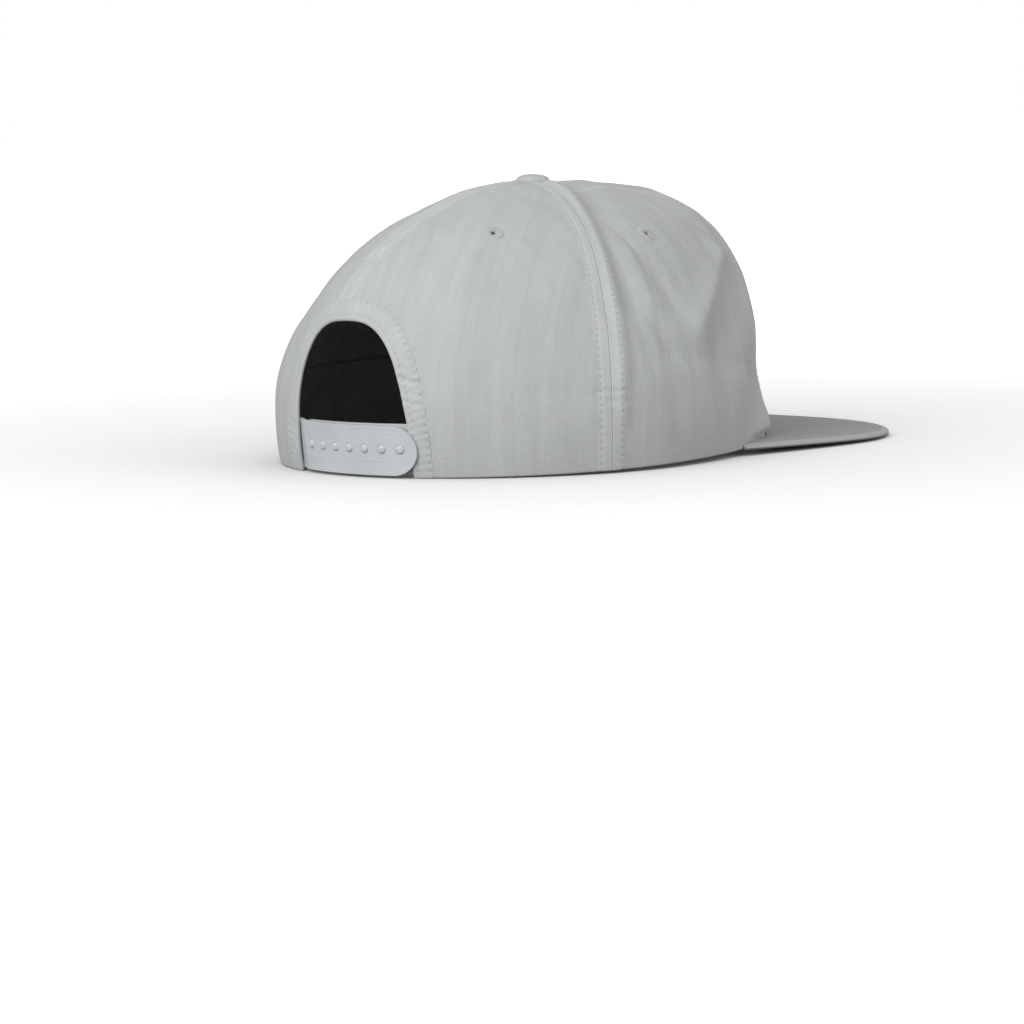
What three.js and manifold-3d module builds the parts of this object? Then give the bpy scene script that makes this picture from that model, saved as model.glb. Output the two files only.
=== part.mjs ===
// Surf cap: five cloth panels, a flat brim, and a rear arch closed by a two-part snap strap.
// Millimetres and degrees, +Z up, the brim towards -Y and the wearer's right hand towards -X.
// The cap is drawn on its rim plane, z = 0, and then set down as it rests on a table.

import * as THREE from "three";
import { mergeVertices } from "three/addons/utils/BufferGeometryUtils.js";
import Module from "manifold-3d";

const wasm = await Module();
wasm.setup();

// Driving dimensions

const GAP = 0.3; // between neighbouring pieces

// Each level of the crown is an ellipse about the apex line. Its reach to the front, side and back
// falls with height as a superellipse: lean shapes the top, box the shoulder, flare the rim.
const CROWN = { height: 102.7, apexShift: -18.2, apexPower: 1.55, flareHeight: 0.4, wall: 1.2 };
const FRONT = { reach: 114, lean: 2.07, box: 5.7, flare: 0.05 };
const SIDE = { reach: 85.6, lean: 1.75, box: 2.08, flare: -0.027 };
const BACK = { reach: 96.8, lean: 2.05, box: 4.15, flare: -0.055 };
const APEX_HOLE_RADIUS = 3;

// Seams run from the rim to the apex: the plan angle at the rim, how far it drifts forward with
// height, and how far it spreads again close to the apex.
const FRONT_SEAM = { atRim: 49, drift: 22, power: 3, spread: 60 };
const REAR_SEAM = { atRim: 110.6, drift: 11.3, power: 2.3, spread: 0 };
const BACK_SEAM = { atRim: 172, drift: -8, power: 4, spread: 0 };
const SPREAD_POWER = 24;

// Dents, folds and swells of the soft cloth. Each follows a path of points, given as plan angle and
// height. Rise is outward, and echo is the share of it on the other side of the cap.
const FOLDS = [
  { name: "groove by the seam", width: 6, rise: -2.4, echo: 0.5,
    path: [[-61, 101.4], [-90, 93], [-96, 82.5], [-99, 58.5]] },
  { name: "swell behind it", width: 4, rise: 0.9, echo: 0.4,
    path: [[-93, 87], [-93.5, 74], [-93, 60]] },
  { name: "second groove", width: 4.5, rise: -1.4, echo: 0.5,
    path: [[-88, 87.3], [-88, 72], [-85, 56.3]] },
  { name: "facet crease", width: 6, rise: 1.6, echo: 0.7,
    path: [[-55.5, 72.5], [-69.5, 60.5], [-79, 49]] },
  { name: "facet hollow", width: 12, rise: -2.2, echo: 0.6,
    path: [[-55, 61], [-64, 49], [-72, 37]] },
  { name: "waist over the brim", width: 9, rise: -1.4, echo: 0.8,
    path: [[-34, 29], [-44, 28], [-54, 27]] },
  { name: "front shoulder", width: 14, rise: 1, echo: 1,
    path: [[-26, 96], [-36, 92], [-46, 88]] },
  { name: "back panel band", width: 9, rise: -1.3, echo: 0.6,
    path: [[-161, 81], [-155, 60.5], [-154, 38.5]] },
  { name: "back corner swell", width: 13, rise: 0.8, echo: 0.3,
    path: [[132, 46], [134, 40], [136, 33]] },
  { name: "back corner dent", width: 13, rise: -1.6, echo: 0.3,
    path: [[128, 90], [134, 80], [140, 62]] },
  { name: "rear top swell", width: 9, rise: 0.9, echo: 0.5,
    path: [[134, 101], [150, 100], [168, 99]] },
];

const ARCH = { centre: -1.3, halfWidth: 27.5, height: 56.6, roundness: 2.8, lean: 0.12, leanFrom: 20 };
const BINDING = { width: 7.2, proud: 0.2 };
const SWEATBAND = { top: 33, wall: 1, gap: 0.4, halfOpening: 41 };
const BUTTON = { radius: 6.5, height: 2.9, lift: 0.2, shankRadius: 2.2 };
const WASHER = { radius: 4.5, drop: 2, thick: 1 };
const EYELET = { radius: 4, holeRadius: 1.1, height: 0.8 };
const EYELETS = [
  { name: "side", angle: 80.8, height: 82.7 },
  { name: "back", angle: 138.5, height: 86.9 },
];

// The brim is a flat board. It tips down from its rear corners by drop at its front edge.
const BRIM = { reach: 178, halfWidth: 83.1, widestAt: 106, roundness: 2.4, drop: 4.85 };
const BOARD = { thick: 3, edge: 0.8 };
const BRIM_CORNER = { x: 77.6, y: 41, taper: 1.6, cutAt: 48 };

// Two straps close the arch, one over the other. Depths are of their middles, outwards from the
// crown's surface, and x is across the back.
const STRAP = { bottom: 1.2, top: 19.6, thick: 1.2, mid: 10.9, endRadius: 9.2 };
const OUTER_STRAP = { endX: -31.5, tailX: 39 };
const INNER_STRAP = { endX: 21, tailX: -39 };
const OVERLAP = { overX: -27, overDepth: 1.6, underX: 21, underDepth: -0.4 };
const TUCK = { x: 25.5, depth: -2.1 };
const STUDS = { count: 7, firstX: -25.6, pitch: 7.05, radius: 1.7, tipRadius: 1.1, proud: 0.9 };
const STUD_HOLE_RADIUS = 2.1;

// How fine the faceted surfaces are
const ROWS = 16;
const SEAM_STEP = 4.1; // plan degrees a column
const BAND_COLUMNS = 46;
const STRAP_COLUMNS = 20;
const BRIM_COLUMNS = 48;
const ROUND_SIDES = 14;

const CLOTH = { color: 0xb4b7b6, roughness: 0.9, metalness: 0 };
const BINDING_CLOTH = { color: 0xb9bcbb, roughness: 0.9, metalness: 0 };
const BRIM_CLOTH = { color: 0xa4a8a8, roughness: 0.9, metalness: 0 };
const THREAD = { color: 0xb0b3b2, roughness: 0.75, metalness: 0 };
const PLASTIC = { color: 0xbcc1c2, roughness: 0.45, metalness: 0 };

const degrees = Math.PI / 180;
const clamp01 = (value) => Math.min(1, Math.max(0, value));
const mix = (a, b, share) => a + (b - a) * share;
const ease = (share) => share * share * (3 - 2 * share);

// The crown's surface

const brimSlope = BRIM.drop / (BRIM.reach - BRIM_CORNER.y);

function reachAt(profile, level) {
  const dome = Math.pow(Math.max(0, 1 - Math.pow(level, profile.box)), 1 / profile.lean);
  const flare = profile.flare * Math.pow(Math.max(0, 1 - level / CROWN.flareHeight), 2);
  return profile.reach * dome * (1 + flare);
}

// Smooth crown, before its folds. The angle is 0 at the front and 180 at the back, and the level
// runs from 0 at the rim to 1 at the apex. The front of the rim follows the brim down.
function smoothCrown(angle, level) {
  const cos = Math.cos(angle * degrees);
  const sin = Math.sin(angle * degrees);
  const along = cos > 0 ? reachAt(FRONT, level) : reachAt(BACK, level);
  const y = -along * cos + CROWN.apexShift * Math.pow(level, CROWN.apexPower);
  const sink = brimSlope * Math.max(0, -y - BRIM_CORNER.y) - (y < -BRIM_CORNER.y ? GAP : 0);
  const z = CROWN.height * level - Math.max(0, sink) * Math.max(0, 1 - level / 0.15);
  return new THREE.Vector3(reachAt(SIDE, level) * sin, y, z);
}

const foldPaths = FOLDS.flatMap((fold) =>
  [1, -1].map((side) => ({
    width: fold.width,
    rise: fold.rise * (side === 1 ? 1 : fold.echo),
    points: fold.path.map(([angle, height]) =>
      smoothCrown(side * angle, height / CROWN.height),
    ),
  })),
);

function foldRise(point) {
  const nearest = new THREE.Vector3();
  const line = new THREE.Line3();
  let rise = 0;
  for (const fold of foldPaths) {
    let distance = Infinity;
    for (let i = 0; i + 1 < fold.points.length; i++) {
      line.set(fold.points[i], fold.points[i + 1]).closestPointToPoint(point, true, nearest);
      distance = Math.min(distance, nearest.distanceTo(point));
    }
    rise += fold.rise * Math.exp(-Math.pow(distance / fold.width, 2));
  }
  return rise;
}

function crownNormal(angle, level) {
  const turn = 0.5;
  const step = Math.min(0.004, (1 - level) / 2);
  const below = Math.max(0, level - step);
  const across = smoothCrown(angle + turn, level).sub(smoothCrown(angle - turn, level));
  const up = smoothCrown(angle, level + step).sub(smoothCrown(angle, below));
  const normal = across.cross(up);
  if (level === 0) normal.z = 0;
  return normal.normalize();
}

// A point of the cloth, with its folds, at a depth under the outer surface.
function cloth(angle, level, depth) {
  const point = smoothCrown(angle, level);
  return point.addScaledVector(crownNormal(angle, level), foldRise(point) - depth);
}

// The level where the crown comes within the apex hole's radius.
function topLevel(angle) {
  let low = 0.5;
  let high = 1;
  for (let i = 0; i < 40; i++) {
    const middle = (low + high) / 2;
    const point = smoothCrown(angle, middle);
    const radius = Math.hypot(point.x, point.y - CROWN.apexShift);
    if (radius > APEX_HOLE_RADIUS) low = middle;
    else high = middle;
  }
  return low;
}

// Solids from grids, shapes and cuts

// A closed wall between an outer and an inner grid of points. The function point(across, up, side)
// gives a point for shares 0 to 1, with side 0 outside and 1 inside.
function wall(point, columns, rows) {
  const positions = [];
  const index = [];
  for (const side of [0, 1])
    for (let j = 0; j <= rows; j++)
      for (let i = 0; i <= columns; i++) positions.push(...point(i / columns, j / rows, side).toArray());
  const at = (i, j, side) => (side * (rows + 1) + j) * (columns + 1) + i;
  const quad = (a, b, c, d) => index.push(a, b, c, a, c, d);
  for (let j = 0; j < rows; j++)
    for (let i = 0; i < columns; i++) {
      quad(at(i, j, 0), at(i + 1, j, 0), at(i + 1, j + 1, 0), at(i, j + 1, 0));
      quad(at(i, j, 1), at(i, j + 1, 1), at(i + 1, j + 1, 1), at(i + 1, j, 1));
    }
  for (let i = 0; i < columns; i++) {
    quad(at(i, 0, 1), at(i + 1, 0, 1), at(i + 1, 0, 0), at(i, 0, 0));
    quad(at(i, rows, 0), at(i + 1, rows, 0), at(i + 1, rows, 1), at(i, rows, 1));
  }
  for (let j = 0; j < rows; j++) {
    quad(at(0, j, 1), at(0, j, 0), at(0, j + 1, 0), at(0, j + 1, 1));
    quad(at(columns, j, 0), at(columns, j, 1), at(columns, j + 1, 1), at(columns, j + 1, 0));
  }
  const geometry = new THREE.BufferGeometry();
  geometry.setAttribute("position", new THREE.Float32BufferAttribute(positions, 3));
  geometry.setIndex(index);
  return geometry;
}

function solid(geometry) {
  const bare = geometry.clone();
  bare.deleteAttribute("normal");
  bare.deleteAttribute("uv");
  const merged = mergeVertices(bare, 1e-4);
  const mesh = new wasm.Mesh({
    numProp: 3,
    vertProperties: merged.attributes.position.array,
    triVerts: new Uint32Array(merged.index.array),
  });
  return new wasm.Manifold(mesh);
}

function geometryOf(body) {
  const mesh = body.getMesh();
  const geometry = new THREE.BufferGeometry();
  geometry.setAttribute("position", new THREE.BufferAttribute(new Float32Array(mesh.vertProperties), 3));
  geometry.setIndex(new THREE.BufferAttribute(new Uint32Array(mesh.triVerts), 1));
  return geometry;
}

// A shape drawn across the back, x and z, and pushed through the back wall along Y.
function throughBack(shape, from, to) {
  const geometry = new THREE.ExtrudeGeometry(shape, { depth: to - from, bevelEnabled: false });
  return geometry.rotateX(Math.PI / 2).translate(0, to, 0);
}

// A round peg or cutter that stands on a point and runs along a direction.
function peg(base, direction, radius, tipRadius, length, sides) {
  const geometry = new THREE.CylinderGeometry(tipRadius, radius, length, sides);
  geometry.translate(0, length / 2, 0);
  const turn = new THREE.Quaternion().setFromUnitVectors(new THREE.Vector3(0, 1, 0), direction);
  return geometry.applyQuaternion(turn).translate(base.x, base.y, base.z);
}

// The arch opening, grown by a margin. Above leanFrom it leans over with its height.
function archShape(margin) {
  const halfWidth = ARCH.halfWidth + margin;
  const floor = -10;
  const steps = 26;
  const points = [[halfWidth, floor]];
  for (let i = 0; i <= steps; i++) {
    const turn = (Math.PI * i) / steps;
    const cos = Math.cos(turn);
    points.push([
      halfWidth * Math.sign(cos) * Math.pow(Math.abs(cos), 2 / ARCH.roundness),
      (ARCH.height + margin) * Math.pow(Math.max(0, Math.sin(turn)), 2 / ARCH.roundness),
    ]);
  }
  points.push([-halfWidth, floor]);
  const leaning = ([x, z]) =>
    new THREE.Vector2(ARCH.centre + x + ARCH.lean * Math.max(0, z - ARCH.leanFrom), z);
  return new THREE.Shape(points.map(leaning));
}

// The pieces

const seamAngle = (seam, level) =>
  seam.atRim - seam.drift * Math.pow(level, seam.power) + seam.spread * Math.pow(level, SPREAD_POWER);
const frontSeam = (level) => seamAngle(FRONT_SEAM, level);
const rearSeam = (level) => seamAngle(REAR_SEAM, level);
const backSeam = (level) => seamAngle(BACK_SEAM, level);

const PANELS = [
  { name: "front_panel", from: (level) => -frontSeam(level), to: frontSeam },
  { name: "side_panel_left", from: frontSeam, to: rearSeam, eyelet: "side" },
  { name: "back_panel_left", from: rearSeam, to: backSeam, eyelet: "back" },
  {
    name: "back_panel_right",
    from: backSeam,
    to: (level) => 360 - rearSeam(level),
    eyelet: "back",
  },
  {
    name: "side_panel_right",
    from: (level) => 360 - rearSeam(level),
    to: (level) => 360 - frontSeam(level),
    eyelet: "side",
  },
];

// Plan degrees that half a gap takes up at a point of the crown.
function halfGapAngle(angle, level) {
  const arc = smoothCrown(angle + 0.5, level).distanceTo(smoothCrown(angle - 0.5, level));
  return GAP / 2 / arc;
}

function panelGeometry(panel) {
  const span = panel.to(0) - panel.from(0);
  const columns = Math.round(span / SEAM_STEP);
  return wall(
    (across, up, side) => {
      const rise = 1 - (1 - up) * (1 - up);
      const rough = mix(panel.from(rise), panel.to(rise), across);
      const level = topLevel(rough) * rise;
      const start = panel.from(level) + halfGapAngle(panel.from(level), level);
      const end = panel.to(level) - halfGapAngle(panel.to(level), level);
      return cloth(mix(start, end, across), level, side * CROWN.wall);
    },
    columns,
    ROWS,
  );
}

function eyeletPlace(eyelet, side) {
  const level = eyelet.height / CROWN.height;
  const angle = side * eyelet.angle;
  return { point: cloth(angle, level, 0), normal: crownNormal(angle, level) };
}

function cutPanel(panel) {
  let body = solid(panelGeometry(panel));
  if (panel.name.startsWith("back")) {
    const cutter = throughBack(archShape(BINDING.width + GAP), 40, 130);
    body = body.subtract(solid(cutter));
  }
  const eyelet = EYELETS.find((one) => one.name === panel.eyelet);
  if (eyelet) {
    const { point, normal } = eyeletPlace(eyelet, panel.name.endsWith("left") ? 1 : -1);
    const reach = 4;
    const start = point.clone().addScaledVector(normal, -reach);
    body = body.subtract(solid(peg(start, normal, EYELET.holeRadius, EYELET.holeRadius, 2 * reach, 8)));
  }
  return geometryOf(body);
}

// The folded strip round the arch, cut from one piece of the back wall.
function archBindingGeometry() {
  const edge = ARCH.halfWidth + BINDING.width + 6;
  const halfAngle = Math.asin(edge / reachAt(SIDE, 0)) / degrees;
  const top = (ARCH.height + BINDING.width + 8) / CROWN.height;
  const strip = wall(
    (across, up, side) => {
      const angle = 180 + mix(-halfAngle, halfAngle, across);
      const depth = side ? CROWN.wall + BINDING.proud : -BINDING.proud;
      return cloth(angle, top * up, depth);
    },
    18,
    12,
  );
  const ring = solid(throughBack(archShape(BINDING.width), 40, 130));
  const opening = solid(throughBack(archShape(0), 30, 140));
  return geometryOf(solid(strip).intersect(ring).subtract(opening));
}

function sweatbandGeometry() {
  const level = SWEATBAND.top / CROWN.height;
  const depth = CROWN.wall + SWEATBAND.gap;
  const halfAngle = 180 - Math.asin(SWEATBAND.halfOpening / reachAt(SIDE, 0)) / degrees;
  const hem = 0.5 / CROWN.height;
  return wall(
    (across, up, side) =>
      cloth(mix(-halfAngle, halfAngle, across), mix(hem, level, up), depth + side * SWEATBAND.wall),
    BAND_COLUMNS,
    3,
  );
}

// The brim's outer edge on the wearer's left, from the front centre to its rear corner.
function brimOuter(share) {
  const turnShare = 0.6;
  if (share < turnShare) {
    const turn = (Math.PI / 2) * (share / turnShare);
    const x = BRIM.halfWidth * Math.pow(Math.sin(turn), 2 / BRIM.roundness);
    return [x, -mix(BRIM.widestAt, BRIM.reach, Math.pow(Math.cos(turn), 2 / BRIM.roundness))];
  }
  const whole = (BRIM.widestAt - BRIM_CORNER.cutAt) / (BRIM.widestAt - BRIM_CORNER.y);
  const along = (whole * (share - turnShare)) / (1 - turnShare);
  const x = mix(BRIM.halfWidth, BRIM_CORNER.x, Math.pow(along, BRIM_CORNER.taper));
  return [x, -mix(BRIM.widestAt, BRIM_CORNER.y, along)];
}

// The crown's rim, grown by the gap, from the front centre to the brim's rear corner.
function brimInner(share) {
  const cornerAngle = Math.acos(BRIM_CORNER.cutAt / reachAt(FRONT, 0)) / degrees;
  const angle = cornerAngle * share;
  const point = smoothCrown(angle, 0).addScaledVector(crownNormal(angle, 0), GAP);
  return [point.x, point.y];
}

// A flat board with a square inner edge and a chamfered outer one.
function brimGeometry() {
  const board = wall(
    (across, up, side) => {
      const share = Math.abs(2 * across - 1);
      const hand = Math.sign(2 * across - 1);
      const inner = new THREE.Vector3(...brimInner(share), 0);
      const outer = new THREE.Vector3(...brimOuter(share), 0);
      const pulledIn = outer.clone().addScaledVector(outer.clone().sub(inner).normalize(), -BOARD.edge);
      const point = [outer, pulledIn, inner][Math.round(2 * up)];
      const height = side ? 0 : BOARD.thick;
      const chamfer = up === 0 ? (side ? BOARD.edge : -BOARD.edge) : 0;
      return point.setX(hand * point.x).setZ(height + chamfer);
    },
    BRIM_COLUMNS,
    2,
  );
  board.translate(0, BRIM_CORNER.y, 0);
  return board.rotateX(Math.atan(brimSlope)).translate(0, -BRIM_CORNER.y, 0);
}

// A dome on a shank that passes between the panel tips to a washer inside.
function buttonGeometry() {
  const profile = [new THREE.Vector2(0, BUTTON.height)];
  const steps = 6;
  for (let i = 1; i <= steps; i++) {
    const turn = (Math.PI / 2) * (i / steps);
    const up = BUTTON.height * Math.pow(Math.cos(turn), 0.7);
    profile.push(new THREE.Vector2(BUTTON.radius * Math.sin(turn), up));
  }
  profile.at(-1).y = 0.5;
  profile.push(
    new THREE.Vector2(BUTTON.radius - 0.5, 0),
    new THREE.Vector2(BUTTON.shankRadius, 0),
    new THREE.Vector2(BUTTON.shankRadius, -WASHER.drop),
    new THREE.Vector2(WASHER.radius, -WASHER.drop),
    new THREE.Vector2(WASHER.radius, -WASHER.drop - WASHER.thick),
    new THREE.Vector2(0, -WASHER.drop - WASHER.thick),
  );
  return new THREE.LatheGeometry(profile.reverse(), ROUND_SIDES).rotateX(Math.PI / 2);
}

// A stitched ring, thicker at its middle.
function eyeletGeometry() {
  const band = EYELET.radius - EYELET.holeRadius;
  const profile = [
    [0, 0],
    [1, 0],
    [0.95, 0.6],
    [0.6, 1],
    [0.25, 0.9],
    [0, 0.4],
    [0, 0],
  ].map(([out, up]) => new THREE.Vector2(EYELET.holeRadius + band * out, EYELET.height * up));
  return new THREE.LatheGeometry(profile, ROUND_SIDES).rotateX(Math.PI / 2);
}

// A point of a strap at x across the back, a share of the way up it and a depth out from the crown.
function strapPoint(x, share, depth) {
  const onCrown = (z) => {
    const level = z / CROWN.height;
    return smoothCrown(180 - Math.asin(x / reachAt(SIDE, level)) / degrees, level);
  };
  return onCrown(STRAP.bottom).lerp(onCrown(STRAP.top), share).addScaledVector(strapNormal(x), depth);
}

function strapNormal(x) {
  const level = STRAP.mid / CROWN.height;
  return crownNormal(180 - Math.asin(x / reachAt(SIDE, level)) / degrees, level);
}

// The outer strap lies over the inner one and the binding, then tucks in behind the other side.
function outerDepth(x) {
  const over = clamp01((x - OVERLAP.overX) / (OVERLAP.underX - OVERLAP.overX));
  const tuck = ease(clamp01((x - OVERLAP.underX) / (TUCK.x - OVERLAP.underX)));
  return mix(mix(OVERLAP.overDepth, OVERLAP.underDepth, over), TUCK.depth, tuck);
}

function strapBand(fromX, toX, depthAt) {
  return wall(
    (across, up, side) => {
      const x = mix(toX, fromX, across);
      return strapPoint(x, up, depthAt(x) + (side ? -0.5 : 0.5) * STRAP.thick);
    },
    STRAP_COLUMNS,
    1,
  );
}

const studX = Array.from({ length: STUDS.count }, (unused, i) => STUDS.firstX + i * STUDS.pitch);
const studShare = (STRAP.mid - STRAP.bottom) / (STRAP.top - STRAP.bottom);

function outerStrapGeometry() {
  const band = solid(strapBand(OUTER_STRAP.endX, OUTER_STRAP.tailX, outerDepth));
  const round = new THREE.Shape();
  const endCentre = OUTER_STRAP.endX + STRAP.endRadius;
  const middle = (STRAP.bottom + STRAP.top) / 2;
  round.moveTo(OUTER_STRAP.tailX + 5, STRAP.bottom - 1);
  round.lineTo(OUTER_STRAP.tailX + 5, STRAP.top + 1);
  round.lineTo(endCentre, STRAP.top + 1);
  round.lineTo(endCentre, STRAP.top);
  round.absarc(endCentre, middle, STRAP.endRadius, Math.PI / 2, (3 * Math.PI) / 2, false);
  round.lineTo(endCentre, STRAP.bottom - 1);
  let body = band.intersect(solid(throughBack(round, 40, 130)));
  for (const x of studX) {
    const start = strapPoint(x, studShare, outerDepth(x) - 3);
    body = body.subtract(solid(peg(start, strapNormal(x), STUD_HOLE_RADIUS, STUD_HOLE_RADIUS, 6, 10)));
  }
  return geometryOf(body);
}

function innerStrapGeometry() {
  let body = solid(strapBand(INNER_STRAP.tailX, INNER_STRAP.endX, () => TUCK.depth));
  for (const x of studX) {
    const length = outerDepth(x) - TUCK.depth + STRAP.thick / 2 + STUDS.proud;
    const neck = length - STUDS.proud;
    const normal = strapNormal(x);
    const start = strapPoint(x, studShare, TUCK.depth);
    const head = start.clone().addScaledVector(normal, neck);
    body = body
      .add(solid(peg(start, normal, STUDS.radius, STUDS.radius, neck, 10)))
      .add(solid(peg(head, normal, STUDS.radius, STUDS.tipRadius, STUDS.proud, 10)));
  }
  return geometryOf(body);
}

// The assembly

const cap = new THREE.Group();

function piece(name, geometry, material) {
  const mesh = new THREE.Mesh(geometry, new THREE.MeshStandardMaterial(material));
  mesh.name = name;
  cap.add(mesh);
  return mesh;
}

for (const panel of PANELS) piece(panel.name, cutPanel(panel), CLOTH);
piece("arch_binding", archBindingGeometry(), BINDING_CLOTH);
piece("sweatband", sweatbandGeometry(), CLOTH);
piece("brim", brimGeometry(), BRIM_CLOTH);
piece("button", buttonGeometry(), CLOTH).position.set(0, CROWN.apexShift, CROWN.height + BUTTON.lift);
piece("strap_outer", outerStrapGeometry(), PLASTIC);
piece("strap_inner", innerStrapGeometry(), PLASTIC);

for (const eyelet of EYELETS)
  for (const [side, hand] of [[1, "left"], [-1, "right"]]) {
    const { point, normal } = eyeletPlace(eyelet, side);
    const ring = piece(`eyelet_${eyelet.name}_${hand}`, eyeletGeometry(), THREAD);
    ring.position.copy(point).addScaledVector(normal, GAP);
    ring.quaternion.setFromUnitVectors(new THREE.Vector3(0, 0, 1), normal);
  }

// Set down on a table: it rests on the brim's front edge and the back of its rim, and the origin is
// under the middle of its box.
cap.rotation.x = -Math.atan(BRIM.drop / (BRIM.reach + reachAt(BACK, 0)));
const box = new THREE.Box3().setFromObject(cap, true);
cap.position.set(0, -(box.min.y + box.max.y) / 2, -box.min.z);

const part = new THREE.Group();
part.add(cap);
export default part;
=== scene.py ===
"""Surf cap: a five-panel cloth crown on its rim and flat brim, with a snap strap across its rear arch.

Sizes are millimetres in the crown's own frame: the rim lies in z = 0, the brim points to -Y and the
wearer's right hand is at -X. Resting sets that frame down on the floor and turns it into metres.
"""

from __future__ import annotations

import logging
import math
from dataclasses import dataclass, field
from enum import Enum
from typing import Callable

import bmesh
import bpy
import numpy as np
from mathutils import Matrix, Vector

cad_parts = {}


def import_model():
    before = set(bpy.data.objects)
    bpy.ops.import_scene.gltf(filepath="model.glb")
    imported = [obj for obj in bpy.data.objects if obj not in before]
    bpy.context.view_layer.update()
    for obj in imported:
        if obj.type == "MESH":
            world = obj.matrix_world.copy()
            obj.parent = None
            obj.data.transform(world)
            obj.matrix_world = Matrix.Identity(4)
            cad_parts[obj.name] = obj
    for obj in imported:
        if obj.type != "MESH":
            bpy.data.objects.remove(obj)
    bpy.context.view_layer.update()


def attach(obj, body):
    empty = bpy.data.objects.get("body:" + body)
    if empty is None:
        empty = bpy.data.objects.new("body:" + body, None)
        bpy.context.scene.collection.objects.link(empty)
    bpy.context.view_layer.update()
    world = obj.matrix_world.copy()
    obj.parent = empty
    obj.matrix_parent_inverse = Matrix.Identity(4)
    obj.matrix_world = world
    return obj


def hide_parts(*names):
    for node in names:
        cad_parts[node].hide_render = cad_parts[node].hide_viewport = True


MM = 0.001
log = logging.getLogger("surf cap")

Array = np.ndarray
Feeds = dict[int | str, object]
Maps = dict[str, np.ndarray]
Piece = bpy.types.Object
Socket = bpy.types.NodeSocket
Tone = tuple[float, float, float]

# Millimetres to one unit of a UV map.
MAP_UNIT = 100.0
# From one stitch to the next, from a seam to the row beside it, and from row to row on the brim.
STITCH_PITCH = 2.68
SEAM_ROW = 4.4
BRIM_ROWS = 6.0
# How far ahead the brim's tip and rear corners lie, and how far the tip lies below the rim.
BRIM_REACH = 178.0
BRIM_CORNER = 41.0
BRIM_DROP = 4.85


class Slot(Enum):
    """The record's material slots."""

    CLOTH = "cloth"
    BINDING = "binding"
    BRIM = "brim_cloth"
    BAND = "band_cloth"
    THREAD = "thread"
    PLASTIC = "strap_plastic"


class Hand(Enum):
    """A side of the cap, as the wearer has it."""

    LEFT = 1
    RIGHT = -1


# Small measures


def smooth(value: Array) -> Array:
    """Ease a share from 0 to 1, held at both ends."""
    held = np.clip(value, 0, 1)
    return held * held * (3 - 2 * held)


def bell(distance: Array, width: float) -> Array:
    """A soft bump, 1 at distance 0."""
    return np.exp(-((distance / width) ** 2))


def rounding(distance: Array, radius: float) -> Array:
    """How far a rounded edge of a wall falls away, at a distance in from the edge."""
    inside = 1 - np.clip(distance / radius, 0, 1)
    return radius * (1 - np.sqrt(np.maximum(0, 1 - inside**2)))


def unit(vectors: Array) -> Array:
    """Vectors scaled to length 1."""
    return vectors / np.maximum(np.linalg.norm(vectors, axis=-1, keepdims=True), 1e-9)


def run_length(points: Array) -> Array:
    """Distance along a line of points, from its first point."""
    return np.concatenate([[0], np.cumsum(np.linalg.norm(np.diff(points, axis=0), axis=1))])


def along_line(points: Array, places: Array) -> Array:
    """Points of a line at given distances along it."""
    run = run_length(points)
    return np.stack([np.interp(places, run, points[:, k]) for k in range(points.shape[1])], axis=1)


def crumple(points: Array, wavelength: float, seed: int) -> Array:
    """Soft undulation of hand-worn cloth, about -1 to 1.

    Args:
        points: Places on the cloth, in millimetres.
        wavelength: Usual distance from crest to crest.
        seed: Fixed seed of the wave directions.

    Returns:
        The undulation at each point.
    """
    rng = np.random.default_rng(seed)
    total = np.zeros(points.shape[:-1])
    waves = 12
    for _ in range(waves):
        direction = unit(rng.normal(size=3))
        length = wavelength * rng.uniform(0.65, 1.5)
        total += np.sin(points @ direction * (2 * math.pi / length) + rng.uniform(0, 2 * math.pi))
    return total / math.sqrt(waves)


@dataclass(frozen=True)
class Resting:
    """How the cap is set down: tipped about X on to its brim and the back of its rim, centred and lifted."""

    back: float = 91.476
    tilt: float = math.atan(BRIM_DROP / (BRIM_REACH + back))
    along: float = 41.3234
    lift: float = 1.6307

    def turn(self, vectors: Array) -> Array:
        """Directions of the crown's frame, tipped as the cap is.

        Args:
            vectors: Directions or points, with a last axis of 3.

        Returns:
            The same in the tipped frame.
        """
        cos, sin = math.cos(self.tilt), math.sin(self.tilt)
        x, y, z = vectors[..., 0], vectors[..., 1], vectors[..., 2]
        return np.stack([x, y * cos + z * sin, z * cos - y * sin], axis=-1)

    def place(self, points: Array) -> Array:
        """Millimetres of the crown's frame as metres of the room."""
        return (self.turn(points) + np.array([0, self.along, self.lift])) * MM


RESTING = Resting()


# The crown's surface


@dataclass(frozen=True)
class Profile:
    """How far the crown reaches in one direction, from rim to apex."""

    reach: float
    lean: float
    box: float
    flare: float

    def at(self, level: Array) -> Array:
        """Reach at a level from 0 at the rim to 1 at the apex."""
        dome = np.maximum(0, 1 - level**self.box) ** (1 / self.lean)
        return self.reach * dome * (1 + self.flare * np.maximum(0, 1 - level / 0.4) ** 2)


@dataclass(frozen=True)
class Fold:
    """A dent, crease or swell along a path of (plan angle, height) points."""

    width: float
    rise: float
    echo: float
    path: tuple[tuple[float, float], ...]
    sharp: float = 2.0


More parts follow.
